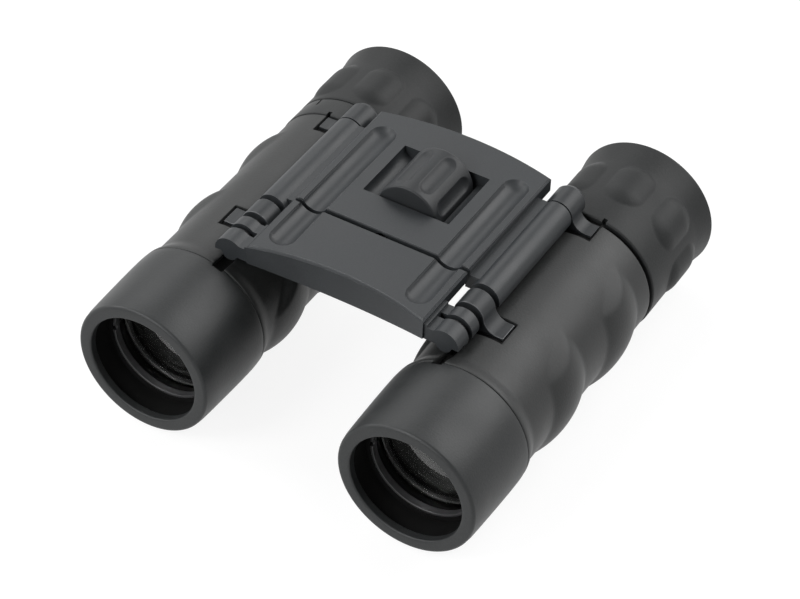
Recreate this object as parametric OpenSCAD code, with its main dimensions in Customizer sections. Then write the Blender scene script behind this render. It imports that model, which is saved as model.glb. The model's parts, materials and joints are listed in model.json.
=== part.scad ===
// Compact folding binoculars: two roof-prism barrels hung by S-shaped claws on a
// double-hinged bridge, with a centre focus wheel and a dioptre eyepiece.
// Millimetres. +X is the user's left, +Y runs from the front lenses to the eyes,
// +Z is up, and the barrels lie on z = 0. "t" is a distance back from the front rims.
// "left" and "right" are the hands of the person who looks through the eyepieces.

/* [Barrels] */
// Distance between the barrel axes as opened at rest
barrel_spacing = 66.6; // [64:0.1:70]
// Length of the rubber cover round the front lens
cover_len = 22; // [21:0.1:24]
// Length of the rubber armour behind the cover
armour_len = 57.2; // [55:0.1:60]
// Length from the armour's rear end to the eyecup's rim
eyepiece_len = 29.4; // [28:0.1:31]
// Radius of the smooth part of the armour
armour_r = 16.2; // [15.9:0.1:16.8]
// Thickness of the armour rubber
armour_wall = 1; // [0.8:0.1:1.1]
// Wall of the barrel tube under the armour
housing_wall = 0.7; // [0.6:0.05:0.8]
// How far the front cover stands out beyond the armour at its widest
cover_step = 1.1; // [0.9:0.1:1.3]
// How far the front rim stands out beyond the armour
rim_step = 0.55; // [0.4:0.05:0.8]
// Rounding of the front rim's outer edge
rim_round = 0.8; // [0.5:0.1:1]
// Radius of the opening in the front rim
opening_r = 13.6; // [13.4:0.1:13.8]
// Depth of the front rim's inner lip
lip_len = 2; // [1.6:0.1:2.4]

/* [Finger lobes] */
// Height of the lobes over the armour
lobe_height = 1.6; // [1.3:0.1:1.8]
// Length of each lobe along the barrel
lobe_len = 15.4; // [13:0.2:16]
// Distance from the armour's front end to the first lobe's crest
lobe_front = 18.2; // [17:0.2:20]
// Distance between the two crests
lobe_pitch = 24.4; // [22:0.2:26]
// Radius of the round form that fades the lobes out near the top
fade_r = 23.8; // [23.4:0.1:24.2]
// Drop of that form's axis below the barrel's
fade_drop = 8.8; // [8.6:0.1:9.2]
// Bow of that form along the barrel, smaller is rounder
fade_bow = 45; // [35:1:60]
// Distance of that form's middle behind each crest
fade_back = 8; // [6:0.5:9]

/* [Eyepieces] */
// Radius of the eyecup along its sleeve
eyecup_r = 16.45; // [16.3:0.05:16.6]
// Radius of the eyecup's flared rim
eyecup_rim_r = 17.19; // [17:0.05:17.4]
// Wall of the eyecup at its rim
eyecup_wall = 1.4; // [1.2:0.1:1.6]
// Length of the flare
eyecup_flare = 7; // [5:0.5:9]
// Depth of the cup behind the ocular
eyecup_depth = 10; // [9:0.2:11]
// Grip pads round each eyecup
pad_count = 8; // [6:1:9]
// Height of the pads' crests over the sleeve
pad_height = 0.95; // [0.6:0.05:1.1]
// Rounding radius of the pads
pad_round = 7.5; // [7:0.1:8]
// Straight length of a pad between its round ends
pad_straight = 5.4; // [4:0.1:6]
// Distance from the eyecup's rim to the pads' middle
pad_back = 13.8; // [13:0.1:14.4]
// Turn of the first pad from the barrel's top, towards +X on both barrels
pad_turn = 6.5; // [0:0.5:22]
// Gap between the armour and the left eyecup
grip_gap = 1.3; // [1:0.1:1.5]
// Length of the dioptre scale ring ahead of the right eyecup
scale_len = 6.2; // [5:0.1:6.8]
// Radius of the dioptre scale ring
scale_r = 16.4; // [16.2:0.05:16.5]
// Travel of the right ocular each way
dioptre_travel = 0.8; // [0.5:0.1:1]

/* [Hinges] */
// Distance between the two hinge axes
hinge_spacing = 54.06; // [53:0.1:56]
// Distance from the armour to the hinge axis
hinge_standoff = 3.16; // [3.1:0.02:3.5]
// Radius of the knuckles, hubs and hinge tubes
knuckle_r = 3.7; // [3.5:0.05:3.8]
// Radius of the hinge shafts
shaft_r = 1.5; // [1.3:0.05:1.6]
// Running clearance of a shaft in its bores
shaft_fit = 0.05; // [0.02:0.01:0.08]
// Clearance of the bridge from the turning barrels
fold_gap = 0.35; // [0.3:0.01:0.4]
// Length of the front knuckle with the disc face
knuckle_len = 4.3; // [4:0.1:4.6]
// Gap between the two front knuckles, where the focus arm turns
arm_gap = 1.5; // [1.4:0.05:1.7]
// Length of the second, ring-shaped knuckle
ring_len = 3; // [2.6:0.1:3.2]
// Gap from the ring-shaped knuckle to the front claw
claw_gap = 1.8; // [1.6:0.05:2]
// Width of the claws
claw_w = 5.2; // [4.8:0.1:5.4]
// Length of the rear claw's hub
rear_hub_len = 7.4; // [7:0.1:7.6]
// Gap from the front claw to the long hinge tube
tube_gap = 1.6; // [1.4:0.05:1.8]
// Radius of the hollow curve in the claws' S
claw_scoop = 3.4; // [3.1:0.1:3.6]
// Reach of the claw's foot past the top of the barrel
claw_reach = 2.3; // [1.8:0.1:3]
// Width of the rear claw's foot
rear_foot_w = 4; // [3.6:0.1:4]

/* [Bridge] */
// Gap between the side edges of the two plates and the hinge tubes
plate_gap = 1.13; // [1:0.01:1.3]
// Height of the plates' top over the hinge axis
plate_rise = 4.6; // [4.4:0.1:4.8]
// Height of the visible front wall at the middle
front_wall = 7.8; // [7:0.1:8]
// Thickness of the front wall
front_wall_t = 2; // [1.6:0.1:2.2]
// Height of the bridge behind the front wall
bridge_h = 6.5; // [6.3:0.1:6.6]
// Radius of the arched underside
arch_r = 90; // [80:1:100]
// How far the front edge curves in at the middle
front_sweep = 3.4; // [3:0.1:3.6]
// How far the rear edge curves out at the middle
rear_sweep = 3; // [2:0.1:3.4]
// Gap between the front and the rear plate in use
split_gap = 1; // [0.9:0.05:1.2]
// Bevel round the plates' top edges
plate_bevel = 0.5; // [0.3:0.05:0.6]
// Chamfer under the side edges of the front plate
side_relief = 0.8; // [0.5:0.05:1]
// Width of the long grooves in the plates
groove_w = 6.3; // [6:0.1:6.8]
// Depth of the long grooves
groove_depth = 1.8; // [1.4:0.1:1.8]
// Distance from a plate's side edge to the middle of its groove
groove_inset = 5; // [4.8:0.1:5.3]
// Width of the window for the wheel
window_w = 22; // [20:0.2:24]
// Length of the window for the wheel
window_len = 18.1; // [17.8:0.1:18.6]
// Distance from the window to the rear edge of the plate
window_back = 7.9; // [7.6:0.1:8.4]
// Thickness of the cover under the bridge
belly_t = 1.2; // [1:0.1:1.4]

/* [Focus] */
// Radius of the focus wheel
wheel_r = 7.7; // [7.2:0.1:8]
// Length of the focus wheel
wheel_len = 16.4; // [15.8:0.1:16.8]
// Depth of the wheel's axis below the plates' top
wheel_drop = 3.1; // [2.9:0.1:3.2]
// Flutes round the wheel
flute_count = 8; // [6:1:9]
// Width of a flute
flute_w = 4.4; // [3.4:0.1:4.6]
// Depth of a flute
flute_depth = 0.75; // [0.5:0.05:0.9]
// Radius of the focus screw
screw_r = 1.6; // [1.4:0.05:1.7]
// Forward travel of the front plate and the front lenses
focus_near = 2; // [1:0.1:2]
// Backward travel of the front plate and the front lenses
focus_far = 0.6; // [0.3:0.05:0.6]

/* [Optics] */
// Radius of the clear opening of the front lens
lens_clear_r = 12.5; // [12:0.1:12.6]
// Setback of the objective's retaining ring from the rim
lens_setback = 7.6; // [7:0.1:8.4]
// Half height of the light path through the prisms
prism_half = 6.4; // [5.8:0.1:6.4]
// Radius of the eye lens
eye_lens_r = 8.2; // [7.8:0.1:8.6]
// Radius of the field lens
field_lens_r = 9.4; // [9:0.1:9.6]

/* [Hidden] */

$fn = 72;
LEFT = 1;
RIGHT = -1;

// Clearances
seat = 0.03;      // glued or pressed pieces of one body
slide_fit = 0.08; // pieces that slide or turn in a barrel
over = 1;         // overrun of a cutting shape

// Radii that nest inside each other
housing_r = armour_r - armour_wall;
bore_r = housing_r - housing_wall;
lobe_r = armour_r + lobe_height;
cover_r = armour_r + cover_step;
rim_r = armour_r + rim_step;
cell_r = bore_r - slide_fit;
inner_r = bore_r - seat;

// Stations along a barrel
t_seam = cover_len;
t_armour_end = t_seam + armour_len;
t_rim = t_armour_end + eyepiece_len;
t_housing_end = t_rim - eyecup_depth - 1;
barrel_length = t_rim;

// Hinge axis, seen from a barrel's own axis and from the floor
axis_z = lobe_r;
hinge_side = (barrel_spacing - hinge_spacing) / 2;
hinge_reach = armour_r + hinge_standoff;
hinge_up = sqrt(pow(hinge_reach, 2) - pow(hinge_side, 2));
hinge_z = axis_z + hinge_up;
hinge_lean = asin(hinge_side / hinge_reach);
plate_z = hinge_z + plate_rise;
tube_low_r = hinge_standoff - fold_gap;

// Stations along a hinge
t_knuckle = t_seam + 3.2;
t_arm_gap = t_knuckle + knuckle_len;
t_ring = t_arm_gap + arm_gap;
t_front_claw = t_ring + ring_len + claw_gap;
t_tube = t_front_claw + claw_w + tube_gap;
t_rear_claw = t_armour_end - 4.1;
t_split = t_tube + 0.8;
t_rear_plate = t_split + split_gap;
t_rear_edge = t_armour_end + 1.2;
t_window = t_rear_edge - window_back - window_len;
t_shaft = t_knuckle + 1;
hub_end_wall = 0.8;
t_shaft_end = t_rear_claw + rear_hub_len - hub_end_wall - focus_far - 0.3;

// Focus train
wheel_z = plate_z - wheel_drop;
t_wheel = t_window + 0.6;
spindle_len = 4.2;
nut_len = 7;
nut_w = 10;
t_nut = t_split - nut_len - 1.6;
screw_reach = 1.2;

// Bridge shell
plate_skin = groove_depth + 0.9;
plate_side = hinge_spacing / 2 - knuckle_r - plate_gap;
groove_x = plate_side - groove_inset;
cavity_x = plate_side - 2;
rib_x = window_w / 2 + 1;
ledge_w = 0.8;
nose_len = 2.6;
nose_low_r = tube_low_r - 0.8;
nose_low = 0.6;
nose_skirt = 0.3;
neck_low = 1.8;
neck_top = 2.8;
ledge_top = 3.5;
belly_x = plate_side - 1.4;
belly_slot = wheel_r + 0.4;
wheel_end_gap = 0.35;
rear_neck_low = 1;
side_low = plate_z - bridge_h + arch_r - sqrt(pow(arch_r, 2) - pow(plate_side, 2));
belly_screw_x = belly_x - 4.8;

// Objective
ring_t = 1.8;
crown_t = 3.6;
flint_t = 2;
lens_r = lens_clear_r + 0.7;
cell_bore_r = lens_r + seat;
arm_t = arm_gap - 0.6;
arm_w = 2;
arm_slot_w = arm_w + 0.7;
t_cell_end = t_ring + 3;
t_arm = t_arm_gap + 0.3;
arm_ring_r = tube_low_r - 0.1;
arm_root_r = cell_bore_r + 0.25;

// Prisms: a half-penta and a roof prism a thin air gap apart
t_prism = t_split + 3.4;
prism_len = prism_half * (1 + sqrt(2));
prism_air = 0.15;
cage_wall = 1.6;
cage_slack = 0.1;

// Ocular
t_ocular = t_armour_end - 3.4;
t_ocular_flange = t_housing_end - 5.5;
ocular_r = field_lens_r + 1.2;
flange_t = 2.2;
t_field_lens = t_ocular + 5;
field_lens_t = 4;
stop_hole_r = 5.4;
stop_wall = 0.8;
stop_setback = 1;
stop_gap = 0.9;
t_eye_lens = t_housing_end - 5;
eye_lens_t = 4.4;
peg_r = 0.9;
peg_depth = 2.4;
t_peg = t_ocular_flange + flange_t / 2;
cup_floor_t = 1;
cup_floor_r = bore_r - 1.2;

t_left_eyecup = t_armour_end + grip_gap;
t_scale = t_armour_end + 0.3;
t_right_eyecup = t_scale + scale_len + 0.3;

rubber = [0.17, 0.18, 0.18];
plastic = [0.2, 0.21, 0.22];
metal_black = [0.14, 0.14, 0.15];
steel = [0.7, 0.71, 0.72];
brass = [0.72, 0.6, 0.32];
cell_black = [0.08, 0.08, 0.08];
glass = [0.6, 0.72, 0.78, 0.5];

// ---------- places ----------

// Children use t along +Y and heights over the floor
module along_bridge() {
  translate([0, -barrel_length / 2, 0]) children();
}

// Children use x outward, t along +Y and heights over the barrel's axis
module on_barrel(side) {
  translate([side * barrel_spacing / 2, -barrel_length / 2, axis_z])
    if (side == LEFT) children();
    else mirror([1, 0, 0]) children();
}

// Both hinges of the bridge: children use x outward and z up from the hinge axis
module at_hinges() {
  for (side = [LEFT, RIGHT])
    translate([side * hinge_spacing / 2, 0, hinge_z])
      if (side == LEFT) children();
      else mirror([1, 0, 0]) children();
}

// ---------- shared shapes ----------

// Revolves a profile of [radius, t] about the barrel's axis
module turned() {
  rotate([-90, 0, 0]) rotate_extrude() children();
}

module rod(r, t0, t1) {
  translate([0, t0, 0]) rotate([-90, 0, 0]) cylinder(r = r, h = t1 - t0);
}

module ring(r_out, r_in, t0, t1) {
  difference() {
    rod(r_out, t0, t1);
    rod(r_in, t0 - over, t1 + over);
  }
}

// Extrudes an [x, z] outline from t0 to t1
module slab(t0, t1) {
  translate([0, t1, 0]) rotate([90, 0, 0]) linear_extrude(t1 - t0) children();
}

module block(x0, x1, t0, t1, z0, z1) {
  translate([x0, t0, z0]) cube([x1 - x0, t1 - t0, z1 - z0]);
}

// A rod with round ends whose straight part runs from t0 to t1
module capsule(r, t0, t1) {
  rod(r, t0, t1);
  for (t = [t0, t1]) translate([0, t, 0]) sphere(r = r);
}

// Points of an arc, used for rounded corners of turned profiles
function arc(cx, cy, r, from, to, steps = 5) =
  [for (i = [0:steps]) let (a = from + (to - from) * i / steps)
    [cx + r * cos(a), cy + r * sin(a)]];

// Radius of a circle through a chord of the given half width and height
function chord_r(half, rise) = (half * half + rise * rise) / (2 * rise);

// A round lens with spherical faces from t0 to t1; a negative front bulge is hollow
module lens(r, t0, t1, bulge_front, bulge_rear) {
  hollow_r = bulge_front < 0 ? chord_r(r, -bulge_front) : 0;
  turned() difference() {
    intersection() {
      lens_face(r, t0, bulge_front, 1);
      lens_face(r, t1, bulge_rear, -1);
      translate([0, t0 - r]) square([r, t1 - t0 + 2 * r]);
    }
    if (bulge_front < 0)
      translate([0, t0 - bulge_front - hollow_r]) circle(r = hollow_r, $fn = 240);
  }
}

// All that lies behind a lens face whose rim is at t; way is 1 for a front face
module lens_face(r, t, bulge, way) {
  radius = bulge > 0 ? chord_r(r, bulge) : 0;
  if (bulge > 0) translate([0, t - way * (bulge - radius)]) circle(r = radius, $fn = 240);
  else translate([0, way > 0 ? t : t - 3 * r]) square([2 * r, 3 * r]);
}

// ---------- barrel ----------

module lobe(t) {
  r = chord_r(lobe_len / 2, lobe_height);
  intersection() {
    translate([0, t, 0]) turned() intersection() {
      translate([lobe_r - r, 0]) circle(r = r);
      translate([bore_r, -lobe_len]) square([lobe_r, 2 * lobe_len]);
    }
    translate([0, t + fade_back, -fade_drop]) turned() intersection() {
      translate([fade_r - fade_bow, 0]) circle(r = fade_bow);
      translate([0, -fade_bow]) square([fade_r, 2 * fade_bow]);
    }
  }
}

pocket_gap = 0.6;
notch_slack = 0.2;
notch_len = 1.2;

// Rectangular cut-out in the armour for a claw's foot
module claw_pocket(t, len, front_room) {
  block(-hinge_side - knuckle_r - 0.3, claw_reach + pocket_gap, t - front_room, t + len + 0.4,
        bore_r / 2, hinge_up);
}

// Slit towards the hinge in which the focus arm travels
module arm_slit(t0, t1) {
  rotate([0, -hinge_lean, 0])
    block(-arm_slot_w / 2, arm_slot_w / 2, t0, t1, bore_r / 2, hinge_reach);
}

t_slit = t_arm - focus_near - 0.4;
t_slit_end = t_arm + arm_t + focus_far + 0.4;

seam_round = 0.25;

module armour(side) {
  color(rubber) on_barrel(side) difference() {
    union() {
      turned() polygon(concat(
        [[housing_r, t_seam + 0.05]],
        arc(cover_r - 0.1 - seam_round, t_seam + 0.05 + seam_round, seam_round, -90, 0, 2),
        [[cover_r - 0.3, t_seam + 1.2], [armour_r + 0.35, t_seam + 2.4],
         [armour_r, t_seam + 3.8], [armour_r, t_armour_end], [housing_r, t_armour_end]]
      ));
      intersection() {
        for (i = [0, 1]) lobe(t_seam + lobe_front + i * lobe_pitch);
        rod(2 * lobe_r, t_seam + 0.1, t_armour_end);
      }
    }
    rod(housing_r + seat, t_seam - over, t_armour_end + over);
    claw_pocket(t_front_claw, claw_w, 1.6);
    claw_pocket(t_rear_claw, claw_w, 1.8);
    arm_slit(t_seam - over, t_slit_end);
  }
}

module front_cover(side) {
  t_wide = 0.86 * cover_len;
  color(rubber) on_barrel(side) difference() {
    turned() polygon(concat(
      [[housing_r + seat, lip_len], [opening_r, lip_len], [opening_r, 0.4], [opening_r + 0.4, 0]],
      arc(rim_r - rim_round, rim_round, rim_round, -90, 0),
      [[(rim_r + cover_r) / 2 + 0.1, t_wide / 2], [cover_r, t_wide]],
      [[cover_r, t_seam - 1.6]],
      arc(cover_r - 0.05 - seam_round, t_seam - seam_round, seam_round, 0, 90, 2),
      [[housing_r + seat, t_seam]]
    ));
    arm_slit(t_seam - 0.8, t_seam + over);
  }
}

module housing(side) {
  color(metal_black) on_barrel(side) difference() {
    rod(housing_r, lip_len + seat, t_housing_end);
    rod(bore_r, lip_len - over, t_housing_end + over);
    arm_slit(t_slit, t_slit_end);
    if (side == RIGHT)
      block(-peg_r - slide_fit, peg_r + slide_fit,
            t_peg - peg_r - dioptre_travel - 0.2, t_peg + peg_r + dioptre_travel + 0.2,
            -housing_r - over, 0);
  }
}

// ---------- claws ----------

// The S-shaped side of a claw, from its hub down to its foot on the barrel
module claw_outline() {
  foot_z = armour_r - 0.4;
  scoop_z = foot_z + claw_scoop;
  scoop_x = sqrt(pow(knuckle_r + claw_scoop, 2) - pow(scoop_z - hinge_up, 2)) - hinge_side;
  difference() {
    union() {
      translate([-hinge_side, hinge_up]) circle(r = knuckle_r);
      difference() {
        polygon([
          [-hinge_side - 0.6 * knuckle_r, bore_r / 2], [claw_reach, bore_r / 2],
          [claw_reach, foot_z], [scoop_x, foot_z], [scoop_x, scoop_z], [-hinge_side, hinge_up],
          [-hinge_side - 0.6 * knuckle_r, hinge_up]
        ]);
        translate([scoop_x, scoop_z]) circle(r = claw_scoop);
      }
    }
    circle(r = housing_r + seat);
  }
}

module shaft_bore(t0, t1) {
  translate([-hinge_side, 0, hinge_up]) rod(shaft_r + shaft_fit, t0, t1);
}

module front_claw(side) {
  color(plastic) on_barrel(side) difference() {
    slab(t_front_claw, t_front_claw + claw_w) claw_outline();
    shaft_bore(t_front_claw - over, t_front_claw + claw_w + over);
  }
}

module rear_claw(side) {
  hub_end = t_rear_claw + rear_hub_len;
  color(plastic) on_barrel(side) difference() {
    union() {
      slab(t_rear_claw, t_rear_claw + rear_foot_w) claw_outline();
      translate([-hinge_side, 0, hinge_up])
        turned() polygon([
          [0, t_rear_claw], [knuckle_r, t_rear_claw], [knuckle_r, hub_end - 1.4],
          [knuckle_r - 0.5, hub_end - 0.5], [knuckle_r - 1.2, hub_end], [0, hub_end]
        ]);
    }
    shaft_bore(t_rear_claw - over, hub_end - hub_end_wall);
    // Room for the eyecup and the armour's rear end under the long hub
    rod(eyecup_r + fold_gap, t_rear_claw + rear_foot_w, hub_end + over);
  }
}

// ---------- objective ----------

t_lens = lens_setback + ring_t;

module objective_cell(side) {
  shoulder = 1;
  t_back = t_lens + crown_t + flint_t + 2 * seat;
  color(cell_black) on_barrel(side) difference() {
    rod(cell_r, lens_setback, t_cell_end);
    rod(cell_bore_r, lens_setback - over, t_back);
    rod(lens_clear_r - 0.3, t_back - over, t_back + shoulder + over);
    rod(cell_bore_r, t_back + shoulder, t_cell_end + over);
    rotate([0, -hinge_lean, 0])
      block(-arm_w / 2 - seat, arm_w / 2 + seat, t_arm - seat, t_arm + arm_t + seat,
            arm_root_r - seat, hinge_reach);
  }
}

module retaining_ring(side) {
  notch = 1.2;
  color(metal_black) on_barrel(side) difference() {
    ring(lens_r, lens_clear_r, lens_setback, t_lens - seat);
    for (a = [0, 180]) rotate([0, a, 0])
      block(lens_clear_r - over, lens_r + over, lens_setback - over, lens_setback + 0.8,
            -notch / 2, notch / 2);
  }
}

module crown_lens(side) {
  color(glass) on_barrel(side)
    lens(lens_r, t_lens + 1, t_lens + crown_t - 0.6, 0.9, 0.55);
}

module flint_lens(side) {
  t0 = t_lens + crown_t;
  color(glass) on_barrel(side)
    lens(lens_r, t0 - 0.55, t0 + flint_t, -0.55, 0);
}

module focus_arm(side) {
  color(steel) on_barrel(side) difference() {
    union() {
      translate([-hinge_side, 0, hinge_up]) rod(arm_ring_r, t_arm, t_arm + arm_t);
      rotate([0, -hinge_lean, 0])
        block(-arm_w / 2, arm_w / 2, t_arm, t_arm + arm_t, arm_root_r, hinge_reach);
    }
    shaft_bore(t_arm - over, t_arm + arm_t + over);
  }
}

// ---------- prisms ----------

module half_penta_outline() {
  h = prism_half;
  polygon([
    [0, h], [0, -h], [2 * h, -(2 * sqrt(2) - 1) * h], [prism_len, -sqrt(2) * h]
  ]);
}

// Outlines are [t, z], so they turn to stand along the barrel
module prism_slab(w) {
  translate([w / 2, t_prism, 0]) rotate([90, 0, -90]) mirror([1, 0, 0])
    linear_extrude(w) children();
}

module half_penta_prism(side) {
  color(glass) on_barrel(side) prism_slab(2 * prism_half - 0.2) half_penta_outline();
}

module roof_prism(side) {
  h = prism_half;
  shift = prism_air * sqrt(2);
  w = 2 * h - 0.2;
  color(glass) on_barrel(side) intersection() {
    prism_slab(w)
      polygon([
        [shift, h], [prism_len + shift, -sqrt(2) * h], [prism_len + shift, 2 * h]
      ]);
    // The right-angled roof whose edge runs up the back of the prism
    translate([0, t_prism + shift, h]) rotate([22.5, 0, 0])
      translate([0, -prism_len, 0]) rotate([0, -45, 0])
        translate([-2 * prism_len, 0, -2 * prism_len])
          cube([2 * prism_len, 3 * prism_len, 2 * prism_len]);
  }
}

module prism_cage(side) {
  t0 = t_prism - cage_wall - cage_slack;
  t1 = t_prism + prism_len + prism_air * sqrt(2) + cage_wall + cage_slack;
  half = prism_half;
  color(cell_black) on_barrel(side) difference() {
    rod(inner_r, t0, t1);
    rod(half, t0 - over, t1 + over);
    intersection() {
      block(-half, half, t0 + cage_wall, t1 - cage_wall,
            -(2 * sqrt(2) - 1) * half - 0.7, 2 * half + 0.2);
      rod(inner_r - 0.8, t0, t1);
    }
  }
}

// Leaf spring that presses the half-penta prism's lower face
module prism_clip(side) {
  h = prism_half;
  low = (2 * sqrt(2) - 1) * h;
  color(steel) on_barrel(side) prism_slab(0.7 * 2 * h)
    polygon([
      [0.4, -h - 0.25], [2 * h - 0.4, -low - 0.07], [2 * h - 0.4, -low - 0.45],
      [0.4, -h - 0.63]
    ]);
}

// ---------- ocular ----------

module ocular_cell(side) {
  color(cell_black) on_barrel(side) difference() {
    union() {
      rod(ocular_r, t_ocular, t_ocular_flange + seat);
      rod(cell_r, t_ocular, t_ocular + flange_t);
      rod(cell_r, t_ocular_flange, t_ocular_flange + flange_t);
      turned() polygon([
        [0, t_ocular_flange + flange_t - seat],
        [cup_floor_r - slide_fit, t_ocular_flange + flange_t - seat],
        [cup_floor_r - slide_fit, t_housing_end - 0.6],
        [cup_floor_r - 1, t_housing_end],
        [0, t_housing_end]
      ]);
    }
    rod(field_lens_r + seat, t_ocular - over, t_field_lens + field_lens_t + 2 * seat);
    rod(field_lens_r - 1, t_field_lens, t_eye_lens - 1);
    rod(eye_lens_r - 0.8, t_eye_lens - 2, t_eye_lens + over);
    rod(eye_lens_r + seat, t_eye_lens, t_housing_end + over);
    if (side == RIGHT)
      translate([0, t_peg, -cell_r - over]) cylinder(r = peg_r + seat, h = peg_depth + over);
  }
}

module field_stop(side) {
  color(metal_black) on_barrel(side)
    difference() {
      rod(field_lens_r, t_ocular + stop_setback, t_field_lens - stop_gap);
      rod(stop_hole_r, t_ocular - over, t_field_lens);
      rod(field_lens_r - stop_wall, t_ocular + stop_setback + stop_wall, t_field_lens + over);
    }
}

module field_lens(side) {
  color(glass) on_barrel(side)
    lens(field_lens_r, t_field_lens, t_field_lens + field_lens_t, 0.6, 0);
}

module eye_lens(side) {
  color(glass) on_barrel(side)
    lens(eye_lens_r, t_eye_lens + seat, t_eye_lens + eye_lens_t, 0, 0.5);
}

// ---------- eyecup ----------

module eyecup_pads(side) {
  centre = eyecup_r + pad_height - pad_round;
  middle = t_rim - pad_back;
  for (i = [0:pad_count - 1])
    rotate([0, 360 * i / pad_count + side * pad_turn, 0])
      translate([0, 0, centre])
        intersection() {
          capsule(pad_round, middle - pad_straight / 2, middle + pad_straight / 2);
          block(-pad_round, pad_round, middle - 2 * pad_round, middle + 2 * pad_round,
                bore_r + 0.9 - centre, 2 * pad_round);
        }
}

// Notch in the ring behind the armour, beside the rear claw's foot
module claw_notch(t) {
  block(claw_reach - notch_slack, claw_reach + pocket_gap + notch_slack, t - over, t + notch_len,
        bore_r / 2, hinge_up);
}

module eyecup(side) {
  t0 = side == LEFT ? t_left_eyecup : t_right_eyecup;
  bore = housing_r + (side == LEFT ? seat : slide_fit);
  t_floor = t_housing_end + 0.1;
  edge = 0.5;
  lip = 0.35;
  flare_mid = eyecup_r + 0.3 * (eyecup_rim_r - eyecup_r);
  color(rubber) on_barrel(side) difference() {
    union() {
      turned() polygon(concat(
        [[bore, t0]],
        arc(eyecup_r - edge, t0 + edge, edge, -90, 0, 3),
        [[eyecup_r, t_rim - eyecup_flare], [flare_mid, t_rim - 0.45 * eyecup_flare]],
        arc(eyecup_rim_r - lip, t_rim - lip, lip, 0, 90, 3),
        arc(eyecup_rim_r - eyecup_wall + lip, t_rim - lip, lip, 90, 180, 3),
        [[cup_floor_r + 0.8, t_floor + cup_floor_t + 0.4],
         [cup_floor_r, t_floor + cup_floor_t], [cup_floor_r, t_floor], [bore, t_floor]]
      ));
      eyecup_pads(side);
    }
    if (side == LEFT) claw_notch(t0);
    if (side == RIGHT) {
      // Cam groove for the peg that shifts the ocular
      groove = peg_r + dioptre_travel + 0.3;
      rod(housing_r + 0.75, t_peg - groove, t_peg + groove);
    }
  }
}

module right_dioptre_scale() {
  edge = 0.3;
  color(rubber) on_barrel(RIGHT) difference() {
    turned() polygon(concat(
      [[housing_r + seat, t_scale]],
      arc(scale_r - edge, t_scale + edge, edge, -90, 0, 2),
      arc(scale_r - edge, t_scale + scale_len - edge, edge, 0, 90, 2),
      [[housing_r + seat, t_scale + scale_len]]
    ));
    claw_notch(t_scale);
    // Zero mark on the top of the ring
    rotate([0, 30, 0])
      block(-0.25, 0.25, t_scale + scale_len - 2.4, t_scale + scale_len + over,
            scale_r - 0.3, scale_r + over);
  }
}

module right_drive_peg() {
  reach = housing_r + 0.4;
  color(brass) on_barrel(RIGHT) translate([0, t_peg, -reach])
    cylinder(r = peg_r, h = reach - cell_r + peg_depth - seat);
}

// ---------- bridge ----------

// Cross-section of the bridge: flat on top, arched underneath
module bridge_outline(side_x, height, inset = 0) {
  intersection() {
    translate([-side_x, plate_z - height - over])
      square([2 * side_x, height + over - inset]);
    translate([0, plate_z - height + arch_r]) circle(r = arch_r, $fn = 180);
  }
}

// Plan of the concave front edge and of the convex rear edge
module front_sweep_cut(setback, z0 = 0) {
  r = chord_r(plate_side, front_sweep);
  translate([0, t_knuckle - 0.5 + front_sweep + setback - r, z0])
    cylinder(r = r, h = 4 * axis_z, $fn = 180);
}

module rear_sweep_keep(setback) {
  r = chord_r(plate_side, rear_sweep);
  translate([0, t_rear_edge + rear_sweep - setback - r, 0])
    cylinder(r = r, h = 4 * axis_z, $fn = 180);
}

module plate_grooves() {
  r = chord_r(groove_w / 2, groove_depth);
  end_run = sqrt(pow(r, 2) - pow(r - groove_depth, 2));
  for (side = [LEFT, RIGHT])
    translate([side * groove_x, 0, plate_z - groove_depth + r])
      capsule(r, t_knuckle + 3.4 + end_run, t_rear_edge - 4.4 - end_run);
}

// A hinge tube: full round above, trimmed below where the barrel turns past it
module knuckle(t0, t1, low = tube_low_r, skirt = 0.3 * knuckle_r) {
  slab(t0, t1) {
    circle(r = low);
    intersection() {
      circle(r = knuckle_r);
      translate([-2 * knuckle_r, -skirt]) square(4 * knuckle_r);
    }
  }
}

// Low web that ties a knuckle to the side of its plate
module neck(t0, t1, reach, top, low = neck_low) {
  block(plate_side - hinge_spacing / 2 - over, reach, t0, t1, -low, top);
}

neck_reach = -knuckle_r / 2;
ledge_reach = plate_side + ledge_w - hinge_spacing / 2;

module wheel_window() {
  block(-window_w / 2, window_w / 2, t_window, t_window + window_len,
        plate_z - bridge_h + belly_t, plate_z + over);
  block(-belly_slot, belly_slot, t_window, t_window + window_len,
        plate_z - 2 * bridge_h, plate_z);
}

module belly_shape(grow) {
  intersection() {
    slab(t_rear_plate + 2 - grow, t_rear_edge - 2.4 + grow) difference() {
      bridge_outline(belly_x + grow, bridge_h + over * (grow > 0 ? 1 : 0));
      translate([0, plate_z - bridge_h + arch_r]) circle(r = arch_r - belly_t - grow, $fn = 180);
    }
  }
}

belly_screw_t0 = t_rear_plate + 5;
belly_screw_t1 = t_rear_edge - 5.4;
belly_screw_spots = [for (x = [-1, 1]) for (t = [belly_screw_t0, belly_screw_t1])
  [x * belly_screw_x, t]];
belly_screw_z = plate_z - bridge_h + arch_r - sqrt(pow(arch_r, 2) - pow(belly_screw_x, 2));
belly_screw_len = 2.8;
belly_head_r = 1.5;
belly_head_t = 0.8;
belly_shank_r = 0.8;
cross_len = 1.8;
cross_w = 0.4;
cross_depth = 0.3;
head_lift = 0.15;

module at_belly_screws() {
  for (spot = belly_screw_spots) translate([spot[0], spot[1], belly_screw_z]) children();
}

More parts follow.
